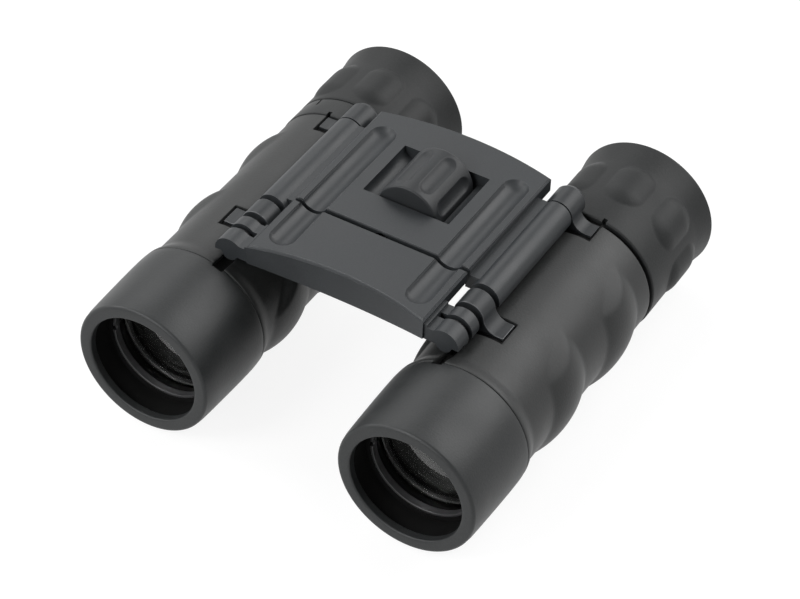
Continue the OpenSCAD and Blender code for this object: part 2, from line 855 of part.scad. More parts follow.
module rear_bridge() {
  color(plastic) along_bridge() difference() {
    union() {
      intersection() {
        slab(t_rear_plate, t_rear_edge + rear_sweep + over)
          bridge_outline(plate_side, bridge_h, plate_bevel);
        rear_sweep_keep(0);
      }
      intersection() {
        slab(t_rear_plate + plate_bevel / 2, t_rear_edge + rear_sweep + over)
          bridge_outline(plate_side - plate_bevel, bridge_h);
        rear_sweep_keep(plate_bevel);
      }
      at_hinges() {
        knuckle(t_tube, t_rear_claw - 0.4);
        neck(t_rear_plate, t_rear_claw - 0.4, neck_reach, neck_top, rear_neck_low);
      }
    }
    plate_grooves();
    wheel_window();
    belly_shape(0.05);
    // Hollows each side of the wheel, closed by the belly cover
    for (side = [-1, 1])
      translate([side * (rib_x + belly_x - 1.2) / 2, 0, 0])
        block(-(belly_x - 1.2 - rib_x) / 2, (belly_x - 1.2 - rib_x) / 2,
              t_window, t_window + window_len, plate_z - bridge_h, plate_z - plate_skin);
    translate([0, 0, wheel_z])
      rod(bush_r + seat, t_rear_plate - over, t_window + window_len + spindle_len + 0.4);
    at_belly_screws() cylinder(r = belly_shank_r + seat, h = belly_screw_len + 0.2);
    at_hinges() rod(shaft_r + shaft_fit, t_tube - over, t_rear_claw + over);
  }
}

module belly_cover() {
  color(plastic) along_bridge() difference() {
    belly_shape(0);
    // A round pocket that follows the wheel and leaves no gap beside it
    translate([0, 0, wheel_z])
      rod(belly_slot, t_wheel - wheel_end_gap, t_wheel + wheel_len + wheel_end_gap);
    translate([0, 0, wheel_z])
      rod(bush_r + seat, t_rear_plate, t_window + window_len + spindle_len + over);
    at_belly_screws() {
      translate([0, 0, -over]) cylinder(r = belly_shank_r + seat, h = belly_screw_len + over);
      translate([0, 0, -over]) cylinder(r = belly_head_r + seat, h = over + belly_head_t + seat);
    }
  }
}

module belly_screws() {
  color(steel) along_bridge() at_belly_screws() difference() {
    union() {
      translate([0, 0, head_lift]) cylinder(r = belly_head_r, h = belly_head_t - head_lift);
      translate([0, 0, head_lift]) cylinder(r = belly_shank_r, h = belly_screw_len - head_lift);
    }
    for (a = [0, 90]) rotate([0, 0, a])
      translate([-cross_len / 2, -cross_w / 2, head_lift - over])
        cube([cross_len, cross_w, over + cross_depth]);
  }
}

bush_r = screw_r + 0.9;
bush_fit = 0.05;

module wheel_bushes() {
  t_end = t_window + window_len;
  color(brass) along_bridge() translate([0, 0, wheel_z]) {
    ring(bush_r, screw_r + bush_fit, t_window - spindle_len, t_window + 0.3);
    ring(bush_r, screw_r + bush_fit, t_end - 0.3, t_end + spindle_len);
  }
}

// The screw's own spindle runs from the nut to the rear bush
module focus_screw() {
  color(steel) along_bridge() translate([0, 0, wheel_z])
    rod(screw_r, t_nut - screw_reach, t_window + window_len + spindle_len - 0.2);
}

module focus_wheel() {
  r = chord_r(flute_w / 2, flute_depth);
  round_r = 1.2;
  run = sqrt(pow(r, 2) - pow(r - flute_depth, 2));
  t_end = t_wheel + wheel_len;
  color(plastic) along_bridge() translate([0, 0, wheel_z]) difference() {
    turned() polygon(concat(
      [[screw_r + seat, t_wheel]],
      arc(wheel_r - round_r, t_wheel + round_r, round_r, -90, 0, 6),
      arc(wheel_r - round_r, t_end - round_r, round_r, 0, 90, 6),
      [[screw_r + seat, t_end]]
    ));
    for (i = [0:flute_count - 1])
      rotate([0, 360 * (i + 0.5) / flute_count, 0])
        translate([0, 0, wheel_r - flute_depth + r])
          capsule(r, t_wheel + 1.6 + run, t_end - 1.6 - run);
  }
}

// Chamfer along the front plate's lower side edges, behind the ring knuckles
module side_relief_cut() {
  for (turn = [0, 1]) mirror([turn, 0, 0])
    slab(t_ring + ring_len + 0.4, t_split + over) polygon([
      [plate_side + 1, side_low + side_relief + 1],
      [plate_side - side_relief - 1, side_low - 1],
      [plate_side + 1, side_low - 1]
    ]);
}

module front_bridge() {
  t_front = t_knuckle - 0.5;
  color(plastic) along_bridge() difference() {
    union() {
      difference() {
        union() {
          slab(t_front - over, t_split) bridge_outline(plate_side, bridge_h, plate_bevel);
          slab(t_front - over, t_split - plate_bevel / 2)
            bridge_outline(plate_side - plate_bevel, bridge_h);
          intersection() {
            slab(t_front - over, t_split) bridge_outline(plate_side, front_wall, plate_bevel);
            front_sweep_cut(front_wall_t);
          }
        }
        front_sweep_cut(0);
        side_relief_cut();
        // Bevel along the front edge
        front_sweep_cut(plate_bevel, plate_z - plate_bevel);
      }
      at_hinges() {
        knuckle(t_knuckle, t_knuckle + nose_len, nose_low_r, nose_skirt);
        knuckle(t_knuckle + nose_len, t_arm_gap);
        knuckle(t_ring, t_ring + ring_len);
        neck(t_knuckle, t_knuckle + nose_len, neck_reach, neck_top, nose_low);
        neck(t_knuckle + nose_len, t_arm_gap, neck_reach, neck_top);
        neck(t_ring, t_ring + ring_len, neck_reach, neck_top);
        neck(t_knuckle, t_ring + ring_len, ledge_reach, ledge_top, nose_low);
      }
    }
    plate_grooves();
    // Hollow under the plate
    difference() {
      block(-cavity_x, cavity_x, t_front + front_sweep + front_wall_t, t_split - 1.4,
            plate_z - 2 * bridge_h, plate_z - plate_skin);
      block(-nut_w / 2 - 1, nut_w / 2 + 1, t_nut + nut_len, t_split, 0, plate_z);
    }
    translate([0, 0, wheel_z]) rod(screw_r + 0.35, t_nut - screw_reach - 1, t_split + over);
    at_nut_screws() cylinder(r = nut_screw_r + seat, h = nut_screw_len + 0.2);
    at_hinges() rod(shaft_r + seat, t_shaft - 0.2, t_tube + over);
  }
}

// The nut hangs under the front plate on two screws
nut_top = plate_z - plate_skin - seat;
nut_bottom = wheel_z - screw_r - 0.9;
nut_screw_r = 0.7;
nut_screw_x = nut_w / 2 - 1.4;
nut_screw_z = nut_bottom;
nut_screw_len = nut_top - nut_bottom + 1.2;

module at_nut_screws() {
  for (x = [-nut_screw_x, nut_screw_x])
    translate([x, t_nut + nut_len / 2, nut_screw_z]) children();
}

module focus_nut() {
  color(brass) along_bridge() difference() {
    block(-nut_w / 2, nut_w / 2, t_nut, t_nut + nut_len - seat, nut_bottom, nut_top);
    translate([0, 0, wheel_z]) rod(screw_r + bush_fit, t_nut - over, t_split);
    at_nut_screws() cylinder(r = nut_screw_r + seat, h = 3 * nut_screw_len);
  }
}

module nut_screws() {
  head_t = 0.6;
  color(steel) along_bridge() at_nut_screws() {
    cylinder(r = nut_screw_r, h = nut_screw_len);
    translate([0, 0, -head_t - seat]) cylinder(r = 1.3, h = head_t);
    translate([0, 0, -head_t / 2]) cylinder(r = nut_screw_r, h = head_t);
  }
}

module hinge_shaft(side) {
  color(steel) along_bridge() translate([side * hinge_spacing / 2, 0, hinge_z])
    rod(shaft_r, t_shaft, t_shaft_end);
}

module left_hinge_shaft() { hinge_shaft(LEFT); }
module right_hinge_shaft() { hinge_shaft(RIGHT); }
module left_housing() { housing(LEFT); }
module right_housing() { housing(RIGHT); }
module left_armour() { armour(LEFT); }
module right_armour() { armour(RIGHT); }
module left_front_cover() { front_cover(LEFT); }
module right_front_cover() { front_cover(RIGHT); }
module left_front_claw() { front_claw(LEFT); }
module right_front_claw() { front_claw(RIGHT); }
module left_rear_claw() { rear_claw(LEFT); }
module right_rear_claw() { rear_claw(RIGHT); }
module left_objective_cell() { objective_cell(LEFT); }
module right_objective_cell() { objective_cell(RIGHT); }
module left_retaining_ring() { retaining_ring(LEFT); }
module right_retaining_ring() { retaining_ring(RIGHT); }
module left_crown_lens() { crown_lens(LEFT); }
module right_crown_lens() { crown_lens(RIGHT); }
module left_flint_lens() { flint_lens(LEFT); }
module right_flint_lens() { flint_lens(RIGHT); }
module left_focus_arm() { focus_arm(LEFT); }
module right_focus_arm() { focus_arm(RIGHT); }
module left_prism_cage() { prism_cage(LEFT); }
module right_prism_cage() { prism_cage(RIGHT); }
module left_half_penta_prism() { half_penta_prism(LEFT); }
module right_half_penta_prism() { half_penta_prism(RIGHT); }
module left_roof_prism() { roof_prism(LEFT); }
module right_roof_prism() { roof_prism(RIGHT); }
module left_prism_clip() { prism_clip(LEFT); }
module right_prism_clip() { prism_clip(RIGHT); }
module left_ocular_cell() { ocular_cell(LEFT); }
module right_ocular_cell() { ocular_cell(RIGHT); }
module left_field_stop() { field_stop(LEFT); }
module right_field_stop() { field_stop(RIGHT); }
module left_field_lens() { field_lens(LEFT); }
module right_field_lens() { field_lens(RIGHT); }
module left_eye_lens() { eye_lens(LEFT); }
module right_eye_lens() { eye_lens(RIGHT); }
module left_eyecup() { eyecup(LEFT); }
module right_eyecup() { eyecup(RIGHT); }

rear_bridge();
belly_cover();
belly_screws();
wheel_bushes();
front_bridge();
focus_nut();
nut_screws();
focus_wheel();
focus_screw();
left_hinge_shaft();
right_hinge_shaft();
left_housing();
left_armour();
left_front_cover();
left_front_claw();
left_rear_claw();
left_objective_cell();
left_retaining_ring();
left_crown_lens();
left_flint_lens();
left_focus_arm();
left_prism_cage();
left_half_penta_prism();
left_roof_prism();
left_prism_clip();
left_ocular_cell();
left_field_stop();
left_field_lens();
left_eye_lens();
left_eyecup();
right_housing();
right_armour();
right_front_cover();
right_front_claw();
right_rear_claw();
right_objective_cell();
right_retaining_ring();
right_crown_lens();
right_flint_lens();
right_focus_arm();
right_prism_cage();
right_half_penta_prism();
right_roof_prism();
right_prism_clip();
right_ocular_cell();
right_field_stop();
right_field_lens();
right_eye_lens();
right_eyecup();
right_dioptre_scale();
right_drive_peg();
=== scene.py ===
# %% [markdown]
# # Compact folding binoculars
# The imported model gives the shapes, the places and the joints. This lesson dresses it: rubber with a fine
# grain, satin mouldings with light edges, clear glass, and soft studio light on a pale floor.
# Lengths are written in millimetres and turned into metres where a mesh is made.

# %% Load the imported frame
import bpy, bmesh, json, math
from mathutils import Matrix, Vector

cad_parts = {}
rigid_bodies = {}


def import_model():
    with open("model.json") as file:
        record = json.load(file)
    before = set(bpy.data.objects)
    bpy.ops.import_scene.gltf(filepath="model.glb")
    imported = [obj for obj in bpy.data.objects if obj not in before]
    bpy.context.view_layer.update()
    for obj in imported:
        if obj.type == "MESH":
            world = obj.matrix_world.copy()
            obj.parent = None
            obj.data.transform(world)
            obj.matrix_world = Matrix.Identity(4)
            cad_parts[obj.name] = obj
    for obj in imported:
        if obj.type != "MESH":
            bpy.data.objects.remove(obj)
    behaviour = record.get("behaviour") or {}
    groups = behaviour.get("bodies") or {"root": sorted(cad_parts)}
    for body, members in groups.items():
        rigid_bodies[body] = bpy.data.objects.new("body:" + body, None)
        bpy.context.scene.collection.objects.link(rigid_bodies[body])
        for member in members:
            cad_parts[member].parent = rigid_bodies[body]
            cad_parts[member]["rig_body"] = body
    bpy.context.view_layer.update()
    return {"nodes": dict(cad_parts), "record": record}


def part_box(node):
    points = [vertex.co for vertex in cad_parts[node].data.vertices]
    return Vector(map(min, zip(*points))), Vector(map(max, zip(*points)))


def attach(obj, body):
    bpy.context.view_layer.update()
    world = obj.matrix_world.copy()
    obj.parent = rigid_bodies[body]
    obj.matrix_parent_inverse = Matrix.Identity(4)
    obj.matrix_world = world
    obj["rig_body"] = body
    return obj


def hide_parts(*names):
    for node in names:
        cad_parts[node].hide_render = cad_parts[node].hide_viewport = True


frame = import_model()
MM = 0.001
print("nodes:", len(frame["nodes"]))

# %% [markdown]
# ## Places that the pieces share
# A barrel is turned about its own axis, so most pieces are easiest to say as a radius at a station: how far
# back from the front rim. The housings' boxes give both axes, and the covers give the front rim.

# %% Barrel axes and stations
front_y = min(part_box(n)[0][1] for n in ("left_front_cover", "right_front_cover"))
SIDES = {"left": 1, "right": -1}
axis_x, axis_z = {}, {}
for side in SIDES:
    low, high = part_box(side + "_housing")
    axis_x[side] = (low[0] + high[0]) / 2
    axis_z[side] = (low[2] + high[2]) / 2
print("barrel axes at x =", {s: round(x / MM, 2) for s, x in axis_x.items()}, "mm")


def station(node, end=0):
    """Distance of a node's front (0) or rear (1) end behind the front rims, in millimetres."""
    return (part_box(node)[end][1] - front_y) / MM

for name in ("left_armour", "left_eyecup", "right_eyecup", "focus_wheel"):
    print(name, "from", round(station(name), 2), "to", round(station(name, 1), 2))

# %% [markdown]
# ## The camera
# The camera looks down on the front lenses from the user's left, with a long lens, so the two barrels stay
# nearly parallel. It is built from its bearing, its height and a small roll, then set back from the middle
# of the barrels.

# %% Camera
BEARING, HEIGHT, ROLL = (math.radians(a) for a in (29.964, 42.204, 1.825))
DISTANCE, FOCAL_LENGTH, SHIFT = 0.62252, 124.55, (-0.003545, -0.01914)
back = Vector((math.sin(BEARING) * math.cos(HEIGHT), -math.cos(BEARING) * math.cos(HEIGHT), math.sin(HEIGHT)))
level_right = Vector((math.cos(BEARING), math.sin(BEARING), 0))
level_up = back.cross(level_right)
right = level_right * math.cos(ROLL) + level_up * math.sin(ROLL)
up = level_up * math.cos(ROLL) - level_right * math.sin(ROLL)

lens = bpy.data.cameras.new("studio_lens")
lens.sensor_width, lens.lens = 36, FOCAL_LENGTH
lens.shift_x, lens.shift_y = SHIFT
lens.clip_start, lens.clip_end = 0.02, 20
camera = bpy.data.objects.new("studio_camera", lens)
turn = Matrix((right, up, back)).transposed().to_4x4()
camera.matrix_world = Matrix.Translation(Vector((0, 0, axis_z["left"])) + back * DISTANCE) @ turn
bpy.context.scene.collection.objects.link(camera)
bpy.context.scene.camera = camera
bpy.context.scene.view_settings.view_transform = "Standard"
print("camera stands", round(camera.location.length, 3), "m from the middle")

# %% [markdown]
# ## Floor, world and lamps
# A pale sweep bounces light into the dark undersides, and that bounce is wanted. The floor is a plain pale
# surface for the light. Seen by the eye, in a reflection or through glass it is lifted to white, so that only
# a soft shadow under the barrels stays. The world does the same for everything beyond the floor, so glass and
# satin plastic reflect the same white studio that the eye sees.

# %% Floor and world
FLOOR_SIZE = 3.0
AMBIENT, SEEN_FLOOR, SHADE = 0.08, 0.88, 0.18


def by_ray(nodes, links, seen, bounced):
    """The first value for the eye, a reflection or a look through glass, and the second for bounced light."""
    path, value = nodes.new("ShaderNodeLightPath"), bounced
    for label in ("Is Glossy Ray", "Is Transmission Ray", "Is Camera Ray"):
        mix = nodes.new("ShaderNodeMix")
        mix.data_type = "FLOAT"
        links.new(path.outputs[label], mix.inputs["Factor"])
        if isinstance(value, float):
            mix.inputs["A"].default_value = value
        else:
            links.new(value, mix.inputs["A"])
        mix.inputs["B"].default_value = seen
        value = mix.outputs["Result"]
    return value


def floor_finish():
    """Pale paper for the light, and white with a faint shadow for the eye, reflections and glass."""
    material = bpy.data.materials.new("pale_floor")
    material.use_nodes = True
    nodes, links = material.node_tree.nodes, material.node_tree.links
    nodes.clear()
    paper, shade, lift = (nodes.new("ShaderNodeBsdfDiffuse"), nodes.new("ShaderNodeBsdfDiffuse"),
                          nodes.new("ShaderNodeEmission"))
    paper.inputs["Color"].default_value = (0.8, 0.8, 0.8, 1)
    shade.inputs["Color"].default_value = (SHADE, SHADE, SHADE, 1)
    links.new(by_ray(nodes, links, SEEN_FLOOR, 0.0), lift.inputs["Strength"])
    both, choose, out = (nodes.new("ShaderNodeAddShader"), nodes.new("ShaderNodeMixShader"),
                         nodes.new("ShaderNodeOutputMaterial"))
    links.new(shade.outputs[0], both.inputs[0])
    links.new(lift.outputs[0], both.inputs[1])
    links.new(by_ray(nodes, links, 1.0, 0.0), choose.inputs["Fac"])
    links.new(paper.outputs[0], choose.inputs[1])
    links.new(both.outputs[0], choose.inputs[2])
    links.new(choose.outputs[0], out.inputs["Surface"])
    return material


half = FLOOR_SIZE / 2
floor_mesh = bpy.data.meshes.new("floor")
floor_mesh.from_pydata([(-half, -half, 0), (half, -half, 0), (half, half, 0), (-half, half, 0)], [], [(0, 1, 2, 3)])
floor_mesh.materials.append(floor_finish())
floor = bpy.data.objects.new("floor", floor_mesh)
bpy.context.scene.collection.objects.link(floor)

world = bpy.data.worlds.new("studio")
world.use_nodes = True
bpy.context.scene.world = world
nodes, links = world.node_tree.nodes, world.node_tree.links
nodes.clear()
room, out = nodes.new("ShaderNodeBackground"), nodes.new("ShaderNodeOutputWorld")
room.inputs["Color"].default_value = (1, 1, 1, 1)
links.new(by_ray(nodes, links, 1.0, AMBIENT), room.inputs["Strength"])
links.new(room.outputs[0], out.inputs["Surface"])
print("floor", FLOOR_SIZE, "m wide, ambient", AMBIENT)

# %% [markdown]
# Five soft lamps shape the black rubber. The strongest is behind on the +X side and draws the long highlights
# down the barrels and the light crescents on the finger lobes. One on the -X side lights the near flanks, and a
# weak one behind it the tops of the plates. One low in front lifts the rims, and one high in front is there for
# the edges that lean forward.

# %% Lamps


LAMP_AIM, LAMP_DISTANCE = Vector((0, 0, 0.02)), 1.1


def lamp_at(name, bearing, height, size, power):
    """A square lamp aimed at the middle; bearing and height in degrees, bearing from +X towards +Y."""
    b, h = math.radians(bearing), math.radians(height)
    away = Vector((math.cos(b) * math.cos(h), math.sin(b) * math.cos(h), math.sin(h)))
    lamp = bpy.data.lights.new(name, "AREA")
    lamp.shape = "RECTANGLE"
    lamp.size, lamp.size_y = size, size
    lamp.energy = power
    holder = bpy.data.objects.new(name, lamp)
    holder.location = LAMP_AIM + away * LAMP_DISTANCE
    holder.rotation_mode = "QUATERNION"
    holder.rotation_quaternion = (LAMP_AIM - holder.location).to_track_quat("-Z", "Y")
    holder.visible_camera = False
    bpy.context.scene.collection.objects.link(holder)
    print(name, power, "W")


lamp_at("side_lamp", 190, 30, 0.6, 4.5)
lamp_at("rear_lamp", 54, 41, 0.9, 10.0)
lamp_at("back_lamp", 138, 42, 0.6, 2.3)
lamp_at("front_lamp", 265, 20, 0.5, 3.5)
lamp_at("edge_lamp", 240, 40, 0.45, 5.5)

# %% [markdown]
# ## Finishes
# Moulded rubber and satin plastic are the same kind of surface: a dark body colour that drifts a little, a
# fine grain that breaks up the sheen, and here and there a smoother patch. One function builds that from
# clouds of noise in the object's own coordinates. Each finish gives two colours, two roughness values, the size
# of its grain and the height of its bumps, then how strongly it mirrors and, for metal, the size of its patches.

# %% Satin finishes


def bare_material(name):
    """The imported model's own material of that name, or a new one, with a fresh node tree."""
    material = bpy.data.materials.get(name) or bpy.data.materials.new(name)
    material.use_nodes = True
    material.node_tree.nodes.clear()
    nodes, links = material.node_tree.nodes, material.node_tree.links
    links.new(nodes.new("ShaderNodeBsdfPrincipled").outputs[0], nodes.new("ShaderNodeOutputMaterial").inputs[0])
    return material


def satin(name, dark, light, rough, grain, bump, specular=0.4, drift=9.0, metallic=0.0):
    """A grained surface: two colours, two roughness values, grain size and bump height in millimetres."""
    material = bare_material(name)
    nodes, links = material.node_tree.nodes, material.node_tree.links
    shader = nodes["Principled BSDF"]
    shader.inputs["Specular IOR Level"].default_value = specular
    shader.inputs["Metallic"].default_value = metallic
    where = nodes.new("ShaderNodeTexCoord")

    def cloud(size, detail):
        noise = nodes.new("ShaderNodeTexNoise")
        noise.inputs["Scale"].default_value = 1 / (size * MM)
        noise.inputs["Detail"].default_value = detail
        links.new(where.outputs["Object"], noise.inputs["Vector"])
        return noise.outputs["Fac"]

    def spread(value, low, high):
        ranged = nodes.new("ShaderNodeMapRange")
        ranged.inputs["From Min"].default_value = 0.3
        ranged.inputs["From Max"].default_value = 0.7
        ranged.inputs["To Min"].default_value = low
        ranged.inputs["To Max"].default_value = high
        links.new(value, ranged.inputs["Value"])
        return ranged.outputs["Result"]

    fine, wide = cloud(grain, 2), cloud(drift, 3)
    both = nodes.new("ShaderNodeMath")
    both.operation = "MULTIPLY_ADD"
    both.inputs[1].default_value = 0.5
    links.new(fine, both.inputs[0])
    halved = nodes.new("ShaderNodeMath")
    halved.operation = "MULTIPLY"
    halved.inputs[1].default_value = 0.5
    links.new(wide, halved.inputs[0])
    links.new(halved.outputs[0], both.inputs[2])
    colour = nodes.new("ShaderNodeMix")
    colour.data_type = "RGBA"
    colour.inputs["A"].default_value = (*dark, 1)
    colour.inputs["B"].default_value = (*light, 1)
    links.new(spread(both.outputs[0], 0, 1), colour.inputs["Factor"])
    links.new(colour.outputs["Result"], shader.inputs["Base Color"])
    links.new(spread(wide, rough[0], rough[1]), shader.inputs["Roughness"])
    raised = nodes.new("ShaderNodeBump")
    raised.inputs["Distance"].default_value = bump * MM
    raised.inputs["Strength"].default_value = 1.0
    links.new(fine, raised.inputs["Height"])
    links.new(raised.outputs["Normal"], shader.inputs["Normal"])
    print(name, "grain", grain, "mm")
    return material


FINISH = {name: satin(name, *look) for name, look in {
    "armour_rubber": ((0.015, 0.016, 0.016), (0.027, 0.028, 0.028), (0.41, 0.5), 0.42, 0.034, 0.3),
    "cover_rubber": ((0.015, 0.0165, 0.017), (0.026, 0.0275, 0.028), (0.39, 0.48), 0.42, 0.028, 0.3),
    "eyecup_rubber": ((0.014, 0.015, 0.015), (0.024, 0.025, 0.0255), (0.45, 0.54), 0.4, 0.03, 0.18),
    "dioptre_ring": ((0.015, 0.016, 0.016), (0.025, 0.0265, 0.027), (0.41, 0.5), 0.35, 0.022, 0.22),
    "bridge_plastic": ((0.018, 0.02, 0.022), (0.029, 0.032, 0.0345), (0.39, 0.48), 0.32, 0.016, 0.32),
    # Painted highlight: a paler, smoother plastic for the rounds of the plates and claws, standing in for the light
    # line along their edges.
    "painted_edge_highlight": ((0.045, 0.048, 0.052), (0.062, 0.066, 0.071), (0.27, 0.35), 0.2, 0.006, 0.5),
    "claw_plastic": ((0.017, 0.019, 0.0205), (0.027, 0.0295, 0.032), (0.37, 0.46), 0.3, 0.012, 0.26),
    "belly_plastic": ((0.017, 0.019, 0.0205), (0.028, 0.031, 0.033), (0.39, 0.48), 0.32, 0.016, 0.3),
    "wheel_plastic": ((0.017, 0.0185, 0.02), (0.027, 0.029, 0.031), (0.39, 0.48), 0.32, 0.016, 0.24),
    "tube_black": ((0.004, 0.004, 0.004), (0.008, 0.008, 0.008), (0.5, 0.65), 0.15, 0.004, 0.12),
    "cell_black": ((0.003, 0.003, 0.003), (0.006, 0.006, 0.006), (0.55, 0.7), 0.15, 0.003, 0.1),
    "ring_black": ((0.03, 0.03, 0.031), (0.05, 0.05, 0.052), (0.28, 0.38), 0.12, 0.002, 0.5),
    "stop_black": ((0.003, 0.003, 0.003), (0.006, 0.006, 0.006), (0.6, 0.7), 0.15, 0.004, 0.1),
    "shaft_steel": ((0.3, 0.3, 0.31), (0.4, 0.4, 0.41), (0.22, 0.32), 0.1, 0.001, 0.5, 3.0, 1.0),
    "arm_steel": ((0.02, 0.02, 0.021), (0.032, 0.032, 0.034), (0.3, 0.4), 0.12, 0.002, 0.5),
    "spring_steel": ((0.4, 0.41, 0.43), (0.5, 0.51, 0.53), (0.2, 0.3), 0.1, 0.001, 0.5, 3.0, 1.0),
    "screw_steel": ((0.05, 0.05, 0.052), (0.08, 0.08, 0.082), (0.25, 0.38), 0.1, 0.002, 0.5, 3.0, 1.0),
    "bush_brass": ((0.5, 0.36, 0.14), (0.62, 0.46, 0.2), (0.25, 0.38), 0.1, 0.001, 0.5, 3.0, 1.0),
}.items()}

# %% [markdown]
# ## Glass
# The lenses and prisms are clear glass, so they show mostly the dark inside of the barrel, with a pale crescent
# where a face reflects the floor past the hood. The faint tint drifts a little across the glass.

# %% Glass finishes


def glass(name, tint):
    """Clear glass whose faint tint drifts between the one given and a neutral one."""
    material = bare_material(name)
    nodes, links = material.node_tree.nodes, material.node_tree.links
    shader = nodes["Principled BSDF"]
    shader.inputs["Transmission Weight"].default_value = 1.0
    shader.inputs["IOR"].default_value = 1.62
    shader.inputs["Roughness"].default_value = 0.02
    where, noise, colour = (nodes.new("ShaderNodeTexCoord"), nodes.new("ShaderNodeTexNoise"),
                            nodes.new("ShaderNodeMix"))
    noise.inputs["Scale"].default_value = 1 / (12 * MM)
    colour.data_type = "RGBA"
    colour.inputs["A"].default_value = (*tint, 1)
    colour.inputs["B"].default_value = (0.97, 0.97, 0.97, 1)
    links.new(where.outputs["Object"], noise.inputs["Vector"])
    links.new(noise.outputs["Fac"], colour.inputs["Factor"])
    links.new(colour.outputs["Result"], shader.inputs["Base Color"])
    print(name, "tint", tint)
    return material


FINISH["lens_glass"] = glass("lens_glass", (0.94, 0.97, 0.93))
FINISH["prism_glass"] = glass("prism_glass", (0.95, 0.96, 0.97))

# %% [markdown]
# ## Turning and hanging
# A barrel's pieces are turned shapes, and every dressed piece rides on a body, replaces a node and takes its
# finish from a slot. Both jobs are written once here. A profile is a closed list of (radius, station) points,
# and a ring of it closes on itself, so no pole or seam is left open.

# %% Turned pieces

BODY_OF = {name: node["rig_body"] for name, node in frame["nodes"].items()}


def make_piece(name, verts, faces):
    mesh = bpy.data.meshes.new(name)
    mesh.from_pydata(verts, [], faces)
    mesh.validate()
    piece = bpy.data.objects.new(name, mesh)
    bpy.context.scene.collection.objects.link(piece)
    return piece


def smooth(piece, angle=32):
    """Rounds the shading, and keeps edges sharper than the angle crisp."""
    shape = bmesh.new()
    shape.from_mesh(piece.data)
    for face in shape.faces:
        face.smooth = True
    for edge in shape.edges:
        edge.smooth = len(edge.link_faces) == 2 and edge.calc_face_angle(0) < math.radians(angle)
    shape.to_mesh(piece.data)
    shape.free()


def outward(piece):
    shape = bmesh.new()
    shape.from_mesh(piece.data)
    bmesh.ops.recalc_face_normals(shape, faces=shape.faces)
    shape.to_mesh(piece.data)
    shape.free()


def hang(piece, finish, *nodes):
    """Gives a piece its finish and its body, and hides the nodes that it stands for."""
    piece.data.materials.clear()
    piece.data.materials.append(FINISH[finish])
    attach(piece, BODY_OF[nodes[0]])
    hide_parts(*nodes)
    return piece


def turned(name, profile, centre, steps=160):
    """A closed ring of the profile, turned about a line along Y through centre, in metres."""
    verts, faces = [], []
    for i in range(steps):
        a = 2 * math.pi * i / steps
        for r, t in profile:
            verts.append((centre[0] + r * MM * math.sin(a), front_y + t * MM, centre[1] + r * MM * math.cos(a)))
    n = len(profile)
    for i in range(steps):
        for j in range(n):
            a, b = i * n, (i + 1) % steps * n
            faces.append((a + j, a + (j + 1) % n, b + (j + 1) % n, b + j))
    piece = make_piece(name, verts, faces)
    if min(r for r, t in profile) < 1e-6:
        shape = bmesh.new()
        shape.from_mesh(piece.data)
        bmesh.ops.remove_doubles(shape, verts=shape.verts, dist=1e-7)
        bmesh.ops.dissolve_degenerate(shape, edges=shape.edges, dist=1e-7)
        shape.to_mesh(piece.data)
        shape.free()
    outward(piece)
    return piece


def bow(centre_r, centre_t, r, start, end, steps):
    """Points of an arc in a profile; 0 degrees points outwards and 90 degrees to the rear."""
    angles = (math.radians(start + (end - start) * i / steps) for i in range(steps + 1))
    return [(centre_r + r * math.cos(a), centre_t + r * math.sin(a)) for a in angles]


def through(points, step=1.0):
    """Adds points along straight stretches of a profile, so that none is longer than step."""
    out = []
    for (r0, t0), (r1, t1) in zip(points, points[1:]):
        pieces = max(1, math.ceil(math.hypot(r1 - r0, t1 - t0) / step))
        out += [(r0 + (r1 - r0) * i / pieces, t0 + (t1 - t0) * i / pieces) for i in range(pieces)]
    return out + [points[-1]]


CENTRE = {side: (axis_x[side], axis_z[side]) for side in SIDES}
print("bodies with pieces:", len(set(BODY_OF.values())))

# %% [markdown]
# ## Front covers
# Each front lens sits deep in a rubber cover with a flat, softly rounded rim. It is a turned part, so one
# profile says all of it: the flat rim, the round edge, the slow swell towards the back, and the black bore.

# %% Front covers
RIM_R, RIM_ROUND, LIP_R, LIP_T = 16.75, 0.8, 13.6, 2.0
TUBE_R, SEAM_ROUND = 15.23, 0.3


def cover_profile():
    """The cover's closed section: black bore, inner lip, rim, swell and the round at the seam."""
    rear = station("left_front_cover", 1)
    swell = [(16.9, 2.0), (17.02, 5.0), (17.12, 8.5), (17.22, 12.5), (17.29, 16.5), (17.3, 18.5), (17.29, 20.4)]
    inside = through([(TUBE_R, rear), (TUBE_R, LIP_T), (LIP_R + 0.15, LIP_T)], 2.0)
    lip = [(LIP_R, LIP_T - 0.15)] + bow(LIP_R + 0.45, 0.45, 0.45, 180, 270, 5)
    rim = bow(RIM_R - RIM_ROUND, RIM_ROUND, RIM_ROUND, 270, 360, 8)
    seam = bow(17.22 - SEAM_ROUND, rear - SEAM_ROUND, SEAM_ROUND, 0, 90, 4)
    return inside + lip + through([lip[-1], rim[0]], 0.7)[1:-1] + rim + swell + seam


for side in SIDES:
    cover = turned(side + "_rubber_cover", cover_profile(), CENTRE[side], 192)
    print(cover.name, len(cover.data.polygons), "faces")

# %% [markdown]
# ## A shell with pockets
# The armour is a rubber sleeve with crisp pockets where the claws reach in. A grid wrapped round the barrel
# does this well: its lines are moved onto the pockets' edges, the cells inside a pocket are left out, and a
# wall is built wherever a kept cell meets a missing one, so the shell is always closed.

# %% Wrapped shell


def lined_up(low, high, step, edges):
    """Even values from low to high, with the nearest one moved onto each edge."""
    count = round((high - low) / step)
    values = [low + (high - low) * i / count for i in range(count + 1)]
    for edge in edges:
        nearest = min(range(1, count), key=lambda i: abs(values[i] - edge))
        values[nearest] = edge
    return values


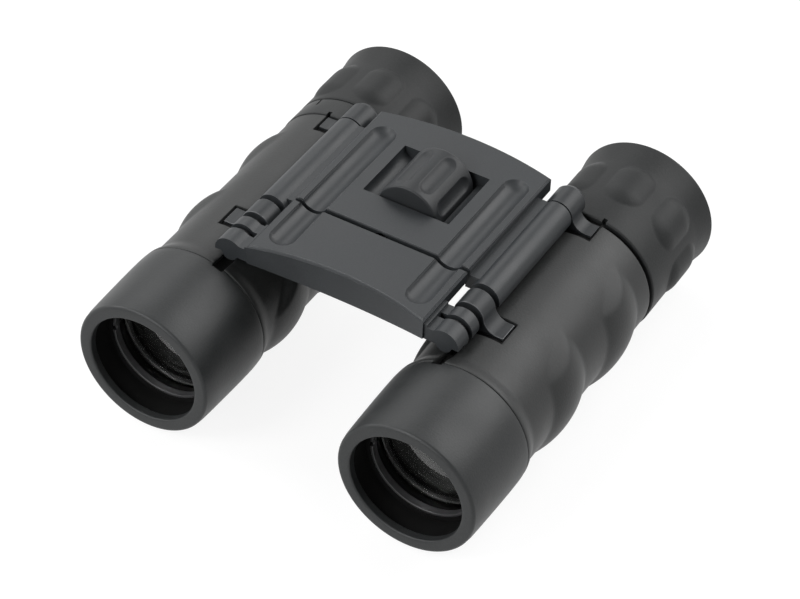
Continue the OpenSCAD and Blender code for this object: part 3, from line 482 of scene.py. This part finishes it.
def wrapped_shell(name, side, stations, angles, outer, inner, gone):
    """A sleeve on a barrel. Angles run from the top, outwards, in degrees; gone(t, a) leaves a cell out."""
    rows, cols = len(stations), len(angles)
    verts, skin = [], []
    for radius_at, mark in ((outer, 1.0), (lambda t: inner, 0.0)):
        for t in stations:
            r = radius_at(t) * MM
            for a in angles:
                a = math.radians(a)
                verts.append((axis_x[side] + SIDES[side] * r * math.sin(a), front_y + t * MM,
                              axis_z[side] + r * math.cos(a)))
                skin.append(mark)
    kept = [[not gone((stations[i] + stations[i + 1]) / 2,
                      (angles[j] + (angles[j + 1] if j + 1 < cols else angles[0] + 360)) / 2)
             for j in range(cols)] for i in range(rows - 1)]

    def at(layer, i, j):
        return layer * rows * cols + i * cols + j % cols

    faces = []
    for i in range(rows - 1):
        for j in range(cols):
            if not kept[i][j]:
                continue
            for layer in (0, 1):
                faces.append([at(layer, i, j), at(layer, i, j + 1), at(layer, i + 1, j + 1), at(layer, i + 1, j)])
            sides = (((i - 1, j), (i, j), (i, j + 1)), ((i + 1, j), (i + 1, j), (i + 1, j + 1)),
                     ((i, j - 1), (i, j), (i + 1, j)), ((i, j + 1), (i, j + 1), (i + 1, j + 1)))
            for (ni, nj), a, b in sides:
                if not (0 <= ni < rows - 1 and kept[ni][nj % cols]):
                    faces.append([at(0, *a), at(0, *b), at(1, *b), at(1, *a)])
    piece = make_piece(name, verts, faces)
    piece.data.attributes.new("skin", "FLOAT", "POINT").data.foreach_set("value", skin)
    shape = bmesh.new()
    shape.from_mesh(piece.data)
    loose = [v for v in shape.verts if not v.link_faces]
    bmesh.ops.delete(shape, geom=loose, context="VERTS")
    bmesh.ops.recalc_face_normals(shape, faces=shape.faces)
    shape.to_mesh(piece.data)
    shape.free()
    return piece


# %% [markdown]
# ## Arithmetic on a mesh
# Finger lobes, grip pads and the wheel's flutes all follow a rule in the angle and the station, so Geometry
# Nodes make them: each tree works out a new radius at every point and moves the point there. A small class
# lets the rule be written as ordinary arithmetic, and each operation becomes one Math node.

# %% A number at every point


class Field:
    """A value worked out at every point of a mesh."""

    def __init__(self, tree, socket):
        self.tree, self.socket = tree, socket

    def made(self, operation, *others):
        node = self.tree.nodes.new("ShaderNodeMath")
        node.operation = operation
        for place, value in enumerate((self, *others)):
            if isinstance(value, Field):
                self.tree.links.new(value.socket, node.inputs[place])
            else:
                node.inputs[place].default_value = value
        return Field(self.tree, node.outputs[0])

    def __add__(self, other):
        return self.made("ADD", other)

    def __sub__(self, other):
        return self.made("SUBTRACT", other)

    def __rsub__(self, other):
        return self.made("MULTIPLY_ADD", -1.0, other)

    def __mul__(self, other):
        return self.made("MULTIPLY", other)

    def __truediv__(self, other):
        return self.made("DIVIDE", other)

    def squared(self):
        return self * self

    def root(self):
        return self.made("MAXIMUM", 0.0).made("SQRT")

    def sine(self):
        return self.made("SINE")

    def cosine(self):
        return self.made("COSINE")


def radius_tree(name, sizes, rule):
    """A tree that moves each skin point of a barrel or wheel to the radius that the rule gives it.
    The rule gets the point's station, angle from the top and radius, and the tree's sizes by name."""
    tree = bpy.data.node_groups.new(name, "GeometryNodeTree")
    face = tree.interface
    face.new_socket(name="Mesh", in_out="INPUT", socket_type="NodeSocketGeometry")
    face.new_socket(name="Material", in_out="INPUT", socket_type="NodeSocketMaterial")
    for label in ("Axis X", "Axis Z", "Front Y", "Outward", *sizes):
        face.new_socket(name=label, in_out="INPUT", socket_type="NodeSocketFloat")
    face.new_socket(name="Mesh", in_out="OUTPUT", socket_type="NodeSocketGeometry")
    start, end = tree.nodes.new("NodeGroupInput"), tree.nodes.new("NodeGroupOutput")
    size = {label: Field(tree, start.outputs[label]) for label in ("Axis X", "Axis Z", "Front Y", "Outward", *sizes)}
    place, split, skin = (tree.nodes.new("GeometryNodeInputPosition"), tree.nodes.new("ShaderNodeSeparateXYZ"),
                          tree.nodes.new("GeometryNodeInputNamedAttribute"))
    skin.data_type = "FLOAT"
    skin.inputs["Name"].default_value = "skin"
    tree.links.new(place.outputs[0], split.inputs[0])
    px, py, pz = (Field(tree, split.outputs[i]) for i in range(3))
    x = (px - size["Axis X"]) * size["Outward"] * 1000.0
    z = (pz - size["Axis Z"]) * 1000.0
    t = (py - size["Front Y"]) * 1000.0
    r = (x.squared() + z.squared()).root()
    angle = x.made("ARCTAN2", z)
    new = rule(t, angle, r, x, z, size)
    grown = (new - r) * Field(tree, skin.outputs["Attribute"]) / r + 1.0
    join, move = tree.nodes.new("ShaderNodeCombineXYZ"), tree.nodes.new("GeometryNodeSetPosition")
    tree.links.new(((px - size["Axis X"]) * grown + size["Axis X"]).socket, join.inputs[0])
    tree.links.new(py.socket, join.inputs[1])
    tree.links.new(((pz - size["Axis Z"]) * grown + size["Axis Z"]).socket, join.inputs[2])
    real, paint = tree.nodes.new("GeometryNodeRealizeInstances"), tree.nodes.new("GeometryNodeSetMaterial")
    tree.links.new(start.outputs["Mesh"], move.inputs["Geometry"])
    tree.links.new(join.outputs[0], move.inputs["Position"])
    tree.links.new(move.outputs[0], real.inputs[0])
    tree.links.new(real.outputs[0], paint.inputs["Geometry"])
    tree.links.new(start.outputs["Material"], paint.inputs["Material"])
    tree.links.new(paint.outputs[0], end.inputs[0])
    print("tree", name, "has", len(tree.nodes), "nodes")
    return tree


def shaped(piece, tree, centre, outward_sign, finish, sizes):
    """Runs a tree on a piece and keeps the result as a plain mesh."""
    given = {"Axis X": centre[0], "Axis Z": centre[1], "Front Y": front_y, "Outward": float(outward_sign),
             "Material": FINISH[finish], **sizes}
    modifier = piece.modifiers.new(tree.name, "NODES")
    modifier.node_group = tree
    for item in tree.interface.items_tree:
        if item.in_out == "INPUT" and item.name in given:
            modifier[item.identifier] = given[item.name]
    piece.update_tag()
    ready = piece.evaluated_get(bpy.context.evaluated_depsgraph_get())
    done = bpy.data.meshes.new_from_object(ready)
    piece.modifiers.remove(modifier)
    done.name = piece.name
    piece.data = done
    for spare in [a.name for a in done.attributes if a.name == "skin"]:
        done.attributes.remove(done.attributes[spare])
    return piece


def crisp(piece, width, angle=50, segments=2):
    """A small round on every edge sharper than the angle; width in millimetres."""
    shape = bmesh.new()
    shape.from_mesh(piece.data)
    edges = [e for e in shape.edges if len(e.link_faces) == 2 and e.calc_face_angle(0) > math.radians(angle)]
    bmesh.ops.bevel(shape, geom=edges, offset=width * MM, segments=segments, profile=0.5, affect="EDGES",
                    clamp_overlap=True)
    shape.to_mesh(piece.data)
    shape.free()


# %% [markdown]
# ## Armour and finger lobes
# The sleeve's front end flares out to meet the cover. Two lobes swell round its outer side and underneath and
# die away towards the top, so the top of the barrel stays straight. Their crests are slanted: further back on
# the outside, further forward on the inside. The lobe is a long arc that gets shorter and flatter higher up,
# and a large round form whose axis lies below the barrel's takes it away near the top; both joins are softened.

# %% Armour
ARMOUR_R, SHOULDER, SHOULDER_LEN, FRONT_EDGE = 16.2, 0.95, 3.9, 0.3
armour_front, armour_end = station("left_armour"), station("left_armour", 1)
claw_front, claw_rear = station("left_front_claw"), station("left_rear_claw")
CLAW_W, POCKET_OUT, POCKET_IN, SLIT = 5.2, 10.31, -39.3, (-23.8, -14.0)
slit_end = station("left_focus_arm", 1) + 1.0
pockets = ((claw_front - 1.6, claw_front + CLAW_W + 0.4), (claw_rear - 1.8, armour_end))


def armour_radius(t):
    """Radius of the sleeve: a rounded front edge, then a shoulder that eases down to the straight part."""
    back_by = t - armour_front
    s = min(max((back_by - FRONT_EDGE) / SHOULDER_LEN, 0), 1)
    edge = max(0.0, FRONT_EDGE - back_by)
    rounding = FRONT_EDGE - math.sqrt(max(FRONT_EDGE ** 2 - edge ** 2, 0))
    return ARMOUR_R + SHOULDER * (1 - s * s * (3 - 2 * s)) - rounding


def armour_gap(t, a):
    """Whether the sleeve is open there, for a claw's pocket or the focus arm's slit."""
    in_pocket = any(low < t < high for low, high in pockets) and POCKET_IN < a < POCKET_OUT
    return in_pocket or (t < slit_end and SLIT[0] < a < SLIT[1])


def lobe_rule(t, angle, r, x, z, size):
    """Raises the sleeve to the higher of two lobes, each an arc that a larger round form takes away."""
    reach = (z + size["Level below axis"]).made("MAXIMUM", 0.0)
    length, height = size["Length"] - reach * size["Shortening"], size["Height"] - reach * size["Flattening"]
    bend = (length.squared() / 4 + height.squared()) / (height * 2)
    raised = None
    for first in (0.0, 1.0):
        crest = size["First crest"] + size["Pitch"] * first + size["Slant across"] * x + size["Slant up"] * z
        arc = (bend.squared() - (t - crest).squared()).root() - bend + height + size["Sleeve radius"]
        middle = size["First crest"] + size["Pitch"] * first + size["Fade behind"]
        wide = (size["Fade bow"].squared() - (t - middle).squared()).root() + size["Fade radius"] - size["Fade bow"]
        drop = size["Fade drop"]
        fade = (wide.squared() - (drop * angle.sine()).squared()).root() - drop * angle.cosine()
        lobe = arc.made("SMOOTH_MIN", fade, size["Softness"])
        raised = lobe if raised is None else raised.made("MAXIMUM", lobe)
    return r.made("SMOOTH_MAX", raised, size["Softness"])


LOBES = {"Sleeve radius": ARMOUR_R, "Height": 1.6, "Length": 15.4, "First crest": 38.3, "Pitch": 24.3,
         "Slant across": 0.208, "Slant up": 0.134, "Fade radius": 23.8, "Fade drop": 8.8, "Fade bow": 45.0,
         "Fade behind": 10.0, "Level below axis": 8.6, "Softness": 0.45, "Shortening": 0.155, "Flattening": 0.014}
lobe_tree = radius_tree("finger_lobes", LOBES, lobe_rule)
rows = lined_up(armour_front, armour_end, 0.5, [v for pair in pockets for v in pair if v < armour_end] + [slit_end])
rows = [armour_front, armour_front + 0.08, armour_front + 0.2] + rows[1:]
cols = lined_up(-180, 180, 1.8, [POCKET_OUT, POCKET_IN, *SLIT])[:-1]
for side in SIDES:
    sleeve = wrapped_shell(side + "_sleeve", side, rows, cols, armour_radius, TUBE_R, armour_gap)
    shaped(sleeve, lobe_tree, CENTRE[side], SIDES[side], "armour_rubber", LOBES)
    crisp(sleeve, 0.12)
    smooth(sleeve, 35)
    hang(sleeve, "armour_rubber", side + "_armour")
    print(sleeve.name, len(sleeve.data.polygons), "faces")

# %% [markdown]
# ## Eyecups and the dioptre ring
# The eyecups are soft sleeves that flare to a thin rim, with oval pads round them to grip. A pad is what shows
# of a buried capsule, a rod with round ends, so the tree raises the surface to the capsule wherever that is
# higher. The pads start a little to the same side of the top on both barrels.

# %% Eyecups
SLEEVE_R, FLARE_R, CUP_WALL, FLARE_LEN, CUP_LIP = 16.45, 17.19, 1.4, 7.0, 0.35
rim_end = station("left_eyecup", 1)
cup_floor = rim_end - 10.9


def flare(t):
    """Radius of the eyecup, which widens over its last few millimetres."""
    s = max(0.0, (t - rim_end + FLARE_LEN) / (FLARE_LEN - CUP_LIP))
    return SLEEVE_R + (FLARE_R - SLEEVE_R) * min(s, 1.0) ** 1.5


def cup_profile(start, bore):
    """The eyecup's closed section, and how many of its first points are outer skin."""
    edge = 0.45
    outer = bow(SLEEVE_R - edge, start + edge, edge, 270, 360, 5)
    count = round((rim_end - CUP_LIP - start - edge) / 0.4)
    outer += [(flare(t), t) for t in (start + edge + (rim_end - CUP_LIP - start - edge) * i / count
                                      for i in range(1, count))]
    lip = bow(FLARE_R - CUP_LIP, rim_end - CUP_LIP, CUP_LIP, 0, 90, 4)
    lip += bow(FLARE_R - CUP_WALL + CUP_LIP, rim_end - CUP_LIP, CUP_LIP, 90, 180, 4)
    inside = through([lip[-1], (14.4, cup_floor + 2.2), (14.1, cup_floor + 1.4), (13.3, cup_floor + 1.0),
                      (13.3, cup_floor), (bore, cup_floor), (bore, start)], 2.0)[1:]
    return outer + lip + inside, len(outer)


def pad_rule(t, angle, r, x, z, size):
    """Raises the skin to the far side of a capsule, repeated round the sleeve."""
    step = size["Pitch angle"]
    turned_by = (angle * size["Outward"] - size["Turn"]).made("WRAP", step / 2, step * -0.5)
    along = ((t - size["Middle"]).made("ABSOLUTE") - size["Straight"] / 2).made("MAXIMUM", 0.0)
    centre = size["Sleeve radius"] + size["Height"] - size["Round"]
    inside = size["Round"].squared() - (centre * turned_by.sine()).squared() - along.squared()
    return r.made("SMOOTH_MAX", inside.root() + centre * turned_by.cosine(), size["Softness"])


PADS = {"Pitch angle": math.radians(45), "Turn": math.radians(6.5), "Middle": rim_end - 13.8, "Straight": 5.4,
        "Sleeve radius": SLEEVE_R, "Height": 1.1, "Round": 7.5, "Softness": 0.1}
pad_tree = radius_tree("grip_pads", PADS, pad_rule)


def skinned(piece, ring, outer_points):
    """Marks the first points of every ring as skin, which a tree may move."""
    marks = [1.0 if i % ring < outer_points else 0.0 for i in range(len(piece.data.vertices))]
    piece.data.attributes.new("skin", "FLOAT", "POINT").data.foreach_set("value", marks)


for side in SIDES:
    profile, outer_points = cup_profile(station(side + "_eyecup"), TUBE_R + (0.05 if side == "right" else 0))
    cup = turned(side + "_soft_eyecup", profile, CENTRE[side], 320)
    skinned(cup, len(profile), outer_points)
    shaped(cup, pad_tree, CENTRE[side], SIDES[side], "eyecup_rubber", PADS)
    print(cup.name, len(cup.data.polygons), "faces")

# %% [markdown]
# A small notch beside the rear claw's foot lets the claw swing out of its mould, so the ring behind the
# armour is cut there. A slit in the front cover's rear edge does the same for the focus arm. Both are plain
# boolean cuts with a box, which is given on the barrel: outwards, back from the rim, and up from the axis.

# %% Cuts with a box


def box_cut(piece, side, low, high, lean=0.0):
    """Cuts a box out of a piece; corners are (outward, station, up) in millimetres, leaned about the axis."""
    corners = [(x, t, z) for x in (low[0], high[0]) for t in (low[1], high[1]) for z in (low[2], high[2])]
    c, s = math.cos(math.radians(lean)), math.sin(math.radians(lean))
    verts = [(axis_x[side] + SIDES[side] * (x * c + z * s) * MM, front_y + t * MM,
              axis_z[side] + (z * c - x * s) * MM) for x, t, z in corners]
    cutter = make_piece("cutter", verts, [(0, 1, 3, 2), (4, 6, 7, 5), (0, 4, 5, 1), (2, 3, 7, 6), (0, 2, 6, 4),
                                          (1, 5, 7, 3)])
    outward(cutter)
    modifier = piece.modifiers.new("cut", "BOOLEAN")
    modifier.operation, modifier.solver, modifier.object = "DIFFERENCE", "EXACT", cutter
    ready = piece.evaluated_get(bpy.context.evaluated_depsgraph_get())
    done = bpy.data.meshes.new_from_object(ready)
    piece.modifiers.remove(modifier)
    piece.data = done
    bpy.data.objects.remove(cutter)


NOTCH_LOW, NOTCH_HIGH, NOTCH_LEN = 2.1, 3.1, 1.2
for side in SIDES:
    cup = bpy.data.objects[side + "_soft_eyecup"]
    if side == "left":
        start = station("left_eyecup")
        box_cut(cup, side, (NOTCH_LOW, start - 1, 10), (NOTCH_HIGH, start + NOTCH_LEN, 18))
    smooth(cup, 40)
    hang(cup, "eyecup_rubber", side + "_eyecup")
    cover = bpy.data.objects[side + "_rubber_cover"]
    end = station(side + "_front_cover", 1)
    box_cut(cover, side, (-1.35, end - 0.8, 14), (1.35, end + 1, 18), -18.9)
    smooth(cover, 40)
    hang(cover, "cover_rubber", side + "_front_cover")

start, end = station("right_dioptre_scale"), station("right_dioptre_scale", 1)
RING_R, RING_ROUND = 16.4, 0.35
ring_profile = (through([(TUBE_R, end), (TUBE_R, start)], 2.0)
                + bow(RING_R - RING_ROUND, start + RING_ROUND, RING_ROUND, 270, 360, 4)
                + bow(RING_R - RING_ROUND, end - RING_ROUND, RING_ROUND, 0, 90, 4))
dioptre = turned("right_dioptre_ring", ring_profile, CENTRE["right"], 240)
box_cut(dioptre, "right", (NOTCH_LOW, start - 1, 10), (NOTCH_HIGH, start + NOTCH_LEN, 18))
box_cut(dioptre, "right", (-0.25, end - 2.4, 16.1), (0.25, end + 1, 18), 30)
smooth(dioptre, 40)
hang(dioptre, "dioptre_ring", "right_dioptre_scale")
print("dioptre ring from", round(start, 2), "to", round(end, 2))

# %% [markdown]
# ## The focus wheel
# The wheel is turned, with wide flutes that are sunk the other way round from the pads: the surface goes down
# to a capsule wherever the capsule's near side is lower.

# %% Wheel
low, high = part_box("focus_wheel")
WHEEL_CENTRE = (0.0, (low[2] + high[2]) / 2)
WHEEL_R, FRONT_ROUND, REAR_ROUND, HUB_R = 7.7, 0.45, 0.8, 1.63
wheel_front, wheel_rear = station("focus_wheel"), station("focus_wheel", 1)


def flute_rule(t, angle, r, x, z, size):
    """Lowers the skin to the near side of a capsule, repeated round the wheel."""
    step = size["Pitch angle"]
    turned_by = (angle + step / 2).made("WRAP", step / 2, step * -0.5)
    along = ((t - size["Middle"]).made("ABSOLUTE") - size["Straight"] / 2).made("MAXIMUM", 0.0)
    centre = size["Wheel radius"] - size["Depth"] + size["Round"]
    inside = size["Round"].squared() - (centre * turned_by.sine()).squared() - along.squared()
    near = centre * turned_by.cosine() - inside.root()
    far = inside.made("LESS_THAN", 0.0001) * 20.0
    return r.made("SMOOTH_MIN", near + far, size["Softness"])


FLUTE_W, FLUTE_DEPTH = 4.4, 0.75
flute_round = (FLUTE_W ** 2 / 4 + FLUTE_DEPTH ** 2) / (2 * FLUTE_DEPTH)
flute_run = math.sqrt(flute_round ** 2 - (flute_round - FLUTE_DEPTH) ** 2)
FLUTES = {"Pitch angle": math.radians(45), "Middle": (wheel_front + wheel_rear) / 2,
          "Straight": wheel_rear - wheel_front - 3.2 - 2 * flute_run, "Wheel radius": WHEEL_R,
          "Depth": FLUTE_DEPTH, "Round": flute_round, "Softness": 0.1}
flute_tree = radius_tree("wheel_flutes", FLUTES, flute_rule)
front_round = bow(WHEEL_R - FRONT_ROUND, wheel_front + FRONT_ROUND, FRONT_ROUND, 270, 360, 6)
rear_round = bow(WHEEL_R - REAR_ROUND, wheel_rear - REAR_ROUND, REAR_ROUND, 0, 90, 6)
rim = front_round + through([front_round[-1], rear_round[0]], 0.2)[1:-1] + rear_round
hub = through([rear_round[-1], (HUB_R, wheel_rear), (HUB_R, wheel_front), front_round[0]], 1.5)[1:-1]
wheel = turned("fluted_wheel", rim + hub, WHEEL_CENTRE, 320)
skinned(wheel, len(rim) + len(hub), len(rim))
shaped(wheel, flute_tree, WHEEL_CENTRE, 1, "wheel_plastic", FLUTES)
smooth(wheel, 40)
hang(wheel, "wheel_plastic", "focus_wheel")
print("wheel radius", WHEEL_R, "flutes", FLUTE_W, "wide")

# %% [markdown]
# ## Refining the imported shapes
# The bridge plates, claws and other mouldings already have the right outlines. A copy of each is merged, its
# flat faces are joined up, and every sharp edge gets a small round, because it is that round which draws the
# fine light line along an edge of a satin moulding. The width given is the most that a round may have: the bevel
# holds all rounds of a piece down to what its shortest edge allows, so on the front plate they are very fine.
# The rounds also get a smoother finish and a paler colour, which is painted highlight: it stands in for the
# light line along each edge. The imported plates have a narrow step under their top edge, and the real mouldings a
# slope there, so the step's inner corner is moved halfway out and up. Large faces are given the most weight in the
# normals, so a flat face stays flat right up to its round.

# %% Refine a copy of a node


def slope_steps(shape, step=0.5):
    """Makes the narrow step under a plate's top edge a slope; step is its height in millimetres."""
    top = max((f for f in shape.faces if f.normal.z > 0.99), key=lambda f: f.calc_area()).calc_center_median().z
    found = {}
    for edge in shape.edges:
        if len(edge.link_faces) != 2 or abs(edge.verts[0].co.z - (top - step * MM)) > 2e-5:
            continue
        flat, wall = sorted(edge.link_faces, key=lambda f: -f.normal.z)
        if flat.normal.z > 0.99 and abs(wall.normal.z) < 0.1 and wall.calc_center_median().z > edge.verts[0].co.z:
            for vert in edge.verts:
                found.setdefault(vert, []).append(wall.normal.copy())
    for vert, normals in found.items():
        out = sum(normals, Vector()).normalized()
        depths = [abs((e.other_vert(vert).co - vert.co).dot(out)) for e in vert.link_edges
                  if (e.other_vert(vert).co - vert.co).normalized().dot(out) > 0.9]
        vert.co += out * min(depths + [step * MM]) / 2 + Vector((0, 0, step * MM / 2))
    shape.normal_update()
    print("corners moved out of a step:", len(found))


MERGE, COPLANAR = 2e-6, math.radians(0.4)
EDGE_ANGLE = math.radians(28)


def refined(node, name, finish, width, stepped=False, highlight_finish=None):
    """A finished copy of a node; width is the most that its edge rounds may have, in millimetres. A second finish, if
    given, is a paler one put on the rounds as a painted highlight.
    """
    piece = bpy.data.objects.new(name, frame["nodes"][node].data.copy())
    piece.data.name = name
    bpy.context.scene.collection.objects.link(piece)
    shape = bmesh.new()
    shape.from_mesh(piece.data)
    bmesh.ops.remove_doubles(shape, verts=shape.verts, dist=MERGE)
    bmesh.ops.dissolve_limit(shape, angle_limit=COPLANAR, verts=shape.verts, edges=shape.edges)
    if stepped:
        slope_steps(shape)
        bmesh.ops.dissolve_limit(shape, angle_limit=COPLANAR, verts=shape.verts, edges=shape.edges)
    for face in shape.faces:
        face.smooth = True
    shape.to_mesh(piece.data)
    shape.free()
    piece.data.materials.clear()
    for label in (finish, highlight_finish or finish):
        piece.data.materials.append(FINISH[label])
    bevel = piece.modifiers.new("edge_round", "BEVEL")
    bevel.limit_method, bevel.angle_limit = "ANGLE", EDGE_ANGLE
    bevel.width, bevel.segments, bevel.use_clamp_overlap = width * MM, 2, True
    # The rounds take the second slot, which holds the paler painted highlight finish where one is given.
    bevel.material = 1
    weigh = piece.modifiers.new("flat_stays_flat", "WEIGHTED_NORMAL")
    weigh.mode, weigh.weight, weigh.keep_sharp = "FACE_AREA", 80, True
    ready = piece.evaluated_get(bpy.context.evaluated_depsgraph_get())
    done = bpy.data.meshes.new_from_object(ready)
    piece.modifiers.clear()
    piece.data = done
    # Faces of the rounds keep the second slot, the paler finish that paints a highlight along the edges.
    painted_highlight = [face.material_index if highlight_finish else 0 for face in done.polygons]
    hang(piece, finish, node)
    if highlight_finish:
        done.materials.append(FINISH[highlight_finish])
    done.polygons.foreach_set("material_index", painted_highlight)
    print(name, len(done.polygons), "faces,", sum(painted_highlight), "of them on worn edges")
    return piece


# The plates take the paler painted highlight finish on their rounds.
refined("rear_bridge", "rear_plate", "bridge_plastic", 0.18, stepped=True, highlight_finish="painted_edge_highlight")
refined("front_bridge", "front_plate", "bridge_plastic", 0.18, stepped=True, highlight_finish="painted_edge_highlight")
refined("belly_cover", "belly_plate", "belly_plastic", 0.1)
for side in SIDES:
    # The claws take the same paler painted highlight finish on their rounds.
    refined(side + "_front_claw", side + "_front_hook", "claw_plastic", 0.16, highlight_finish="painted_edge_highlight")
    refined(side + "_rear_claw", side + "_rear_hook", "claw_plastic", 0.16, highlight_finish="painted_edge_highlight")

# %% [markdown]
# ## The wheel's well
# The focus wheel sits in a well: on both sides of it the window's wall curves in close under the plate, so
# nothing shows past the wheel but a dark gap. Each cheek is one section, a hollow quarter of an oval above a
# straight wall, drawn out along the window and sunk a little way into the plate's own walls.

# %% Wheel well cheeks
WELL_WALL, WELL_IN, WELL_TOP, WELL_BEND, WELL_FOOT = 11.0, 8.15, 40.2, 37.8, 35.4
well_start, well_end = station("focus_wheel") - 0.6, station("focus_wheel") + 17.5


def well_section():
    """Points of a cheek across the window, as distance from the middle and height above the floor."""
    curve = [(WELL_IN + (WELL_WALL - WELL_IN) * math.cos(a), WELL_TOP - (WELL_TOP - WELL_BEND) * math.sin(a))
             for a in (math.radians(90 * i / 12) for i in range(13))]
    return curve + [(WELL_IN, WELL_FOOT), (WELL_WALL + 0.3, WELL_FOOT), (WELL_WALL + 0.3, WELL_TOP)]


for side, way in SIDES.items():
    section = well_section()
    verts = [(way * x * MM, front_y + t * MM, z * MM) for t in (well_start - 0.2, well_end + 0.2) for x, z in section]
    n = len(section)
    faces = [(i, (i + 1) % n, n + (i + 1) % n, n + i) for i in range(n)] + [range(n), range(n, 2 * n)]
    cheek = make_piece(side + "_well_cheek", verts, faces)
    outward(cheek)
    smooth(cheek, 40)
    hang(cheek, "bridge_plastic", "rear_bridge")
    print(cheek.name, round(well_end - well_start, 1), "mm long")

# %% [markdown]
# ## Inside the front hoods
# Behind each rim the tube is dull black, with the lens cell and its bright-edged retaining ring some way in.
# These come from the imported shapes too, with a very small round on the ring, which catches the light.

# %% Tubes, cells and rings
for side in SIDES:
    refined(side + "_housing", side + "_tube", "tube_black", 0.08)
    refined(side + "_objective_cell", side + "_lens_cell", "cell_black", 0.02)
    refined(side + "_retaining_ring", side + "_lens_ring", "ring_black", 0.22)
    refined(side + "_ocular_cell", side + "_eyepiece_cell", "cell_black", 0.1)
    refined(side + "_field_stop", side + "_field_mask", "stop_black", 0.08)
    refined(side + "_focus_arm", side + "_focus_link", "arm_steel", 0.08)
refined("belly_screws", "cross_screws", "screw_steel", 0.06)

# %% [markdown]
# ## Lenses
# A lens face is part of a sphere, so its profile is an arc from the middle to the rim. The bulge at the
# middle and the radius of the lens give the sphere. Each lens is turned and closed at its poles. Its edge is
# painted black, as a real one is, because bare glass there would pipe stray light into the barrel.

# %% Lenses
LENSES = {  # node: name, radius, front bulge, rear bulge; a hollow face has a negative bulge
    "crown_lens": ("front_lens", 13.2, 0.9, 0.55),
    "flint_lens": ("rear_lens", 13.2, -0.55, 0.0),
    "field_lens": ("inner_lens", 9.4, 0.6, 0.0),
    "eye_lens": ("eye_glass", 8.2, 0.0, 0.5),
}


def face_points(r, rim_t, bulge, way, steps=24):
    """Points from the axis to the rim; way is 1 for a front face and -1 for a rear face."""
    if not bulge:
        return [(r * i / steps, rim_t) for i in range(steps + 1)]
    ball = (r * r + bulge * bulge) / (2 * abs(bulge))
    sign = math.copysign(1, bulge)
    out = []
    for i in range(steps + 1):
        x = r * i / steps
        sag = abs(bulge) - (ball - math.sqrt(ball * ball - x * x))
        out.append((x, rim_t - way * sign * sag))
    return out


for side in SIDES:
    for part, (name, r, front_bulge, rear_bulge) in LENSES.items():
        node = side + "_" + part
        front_rim = station(node) + max(front_bulge, 0)
        rear_rim = station(node, 1) - max(rear_bulge, 0)
        front = face_points(r, front_rim, front_bulge, 1)
        rear = face_points(r, rear_rim, rear_bulge, -1)
        piece = turned(side + "_" + name, front + rear[::-1], CENTRE[side], 96)
        smooth(piece, 30)
        hang(piece, "lens_glass", node)
        piece.data.materials.append(FINISH["stop_black"])
        for face in piece.data.polygons:
            face.material_index = 1 if abs(face.normal.y) < 0.3 else 0
    print(side, "lenses from", round(station(side + "_crown_lens"), 2), "to", round(station(side + "_eye_lens", 1), 2))

# %% [markdown]
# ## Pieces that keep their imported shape
# The prisms, shafts, bushes, springs and screws inside are right as they come. Each gets the finish of its
# own slot.

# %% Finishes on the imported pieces
slot_of = {part["node"]: part["material_slot"] for part in frame["record"]["subparts"]}
left_as_packed = [name for name, node in frame["nodes"].items() if not node.hide_render]
for name in left_as_packed:
    materials = frame["nodes"][name].data.materials
    materials.clear()
    materials.append(FINISH[slot_of[name]])
print("kept as packed:", ", ".join(sorted(left_as_packed)))
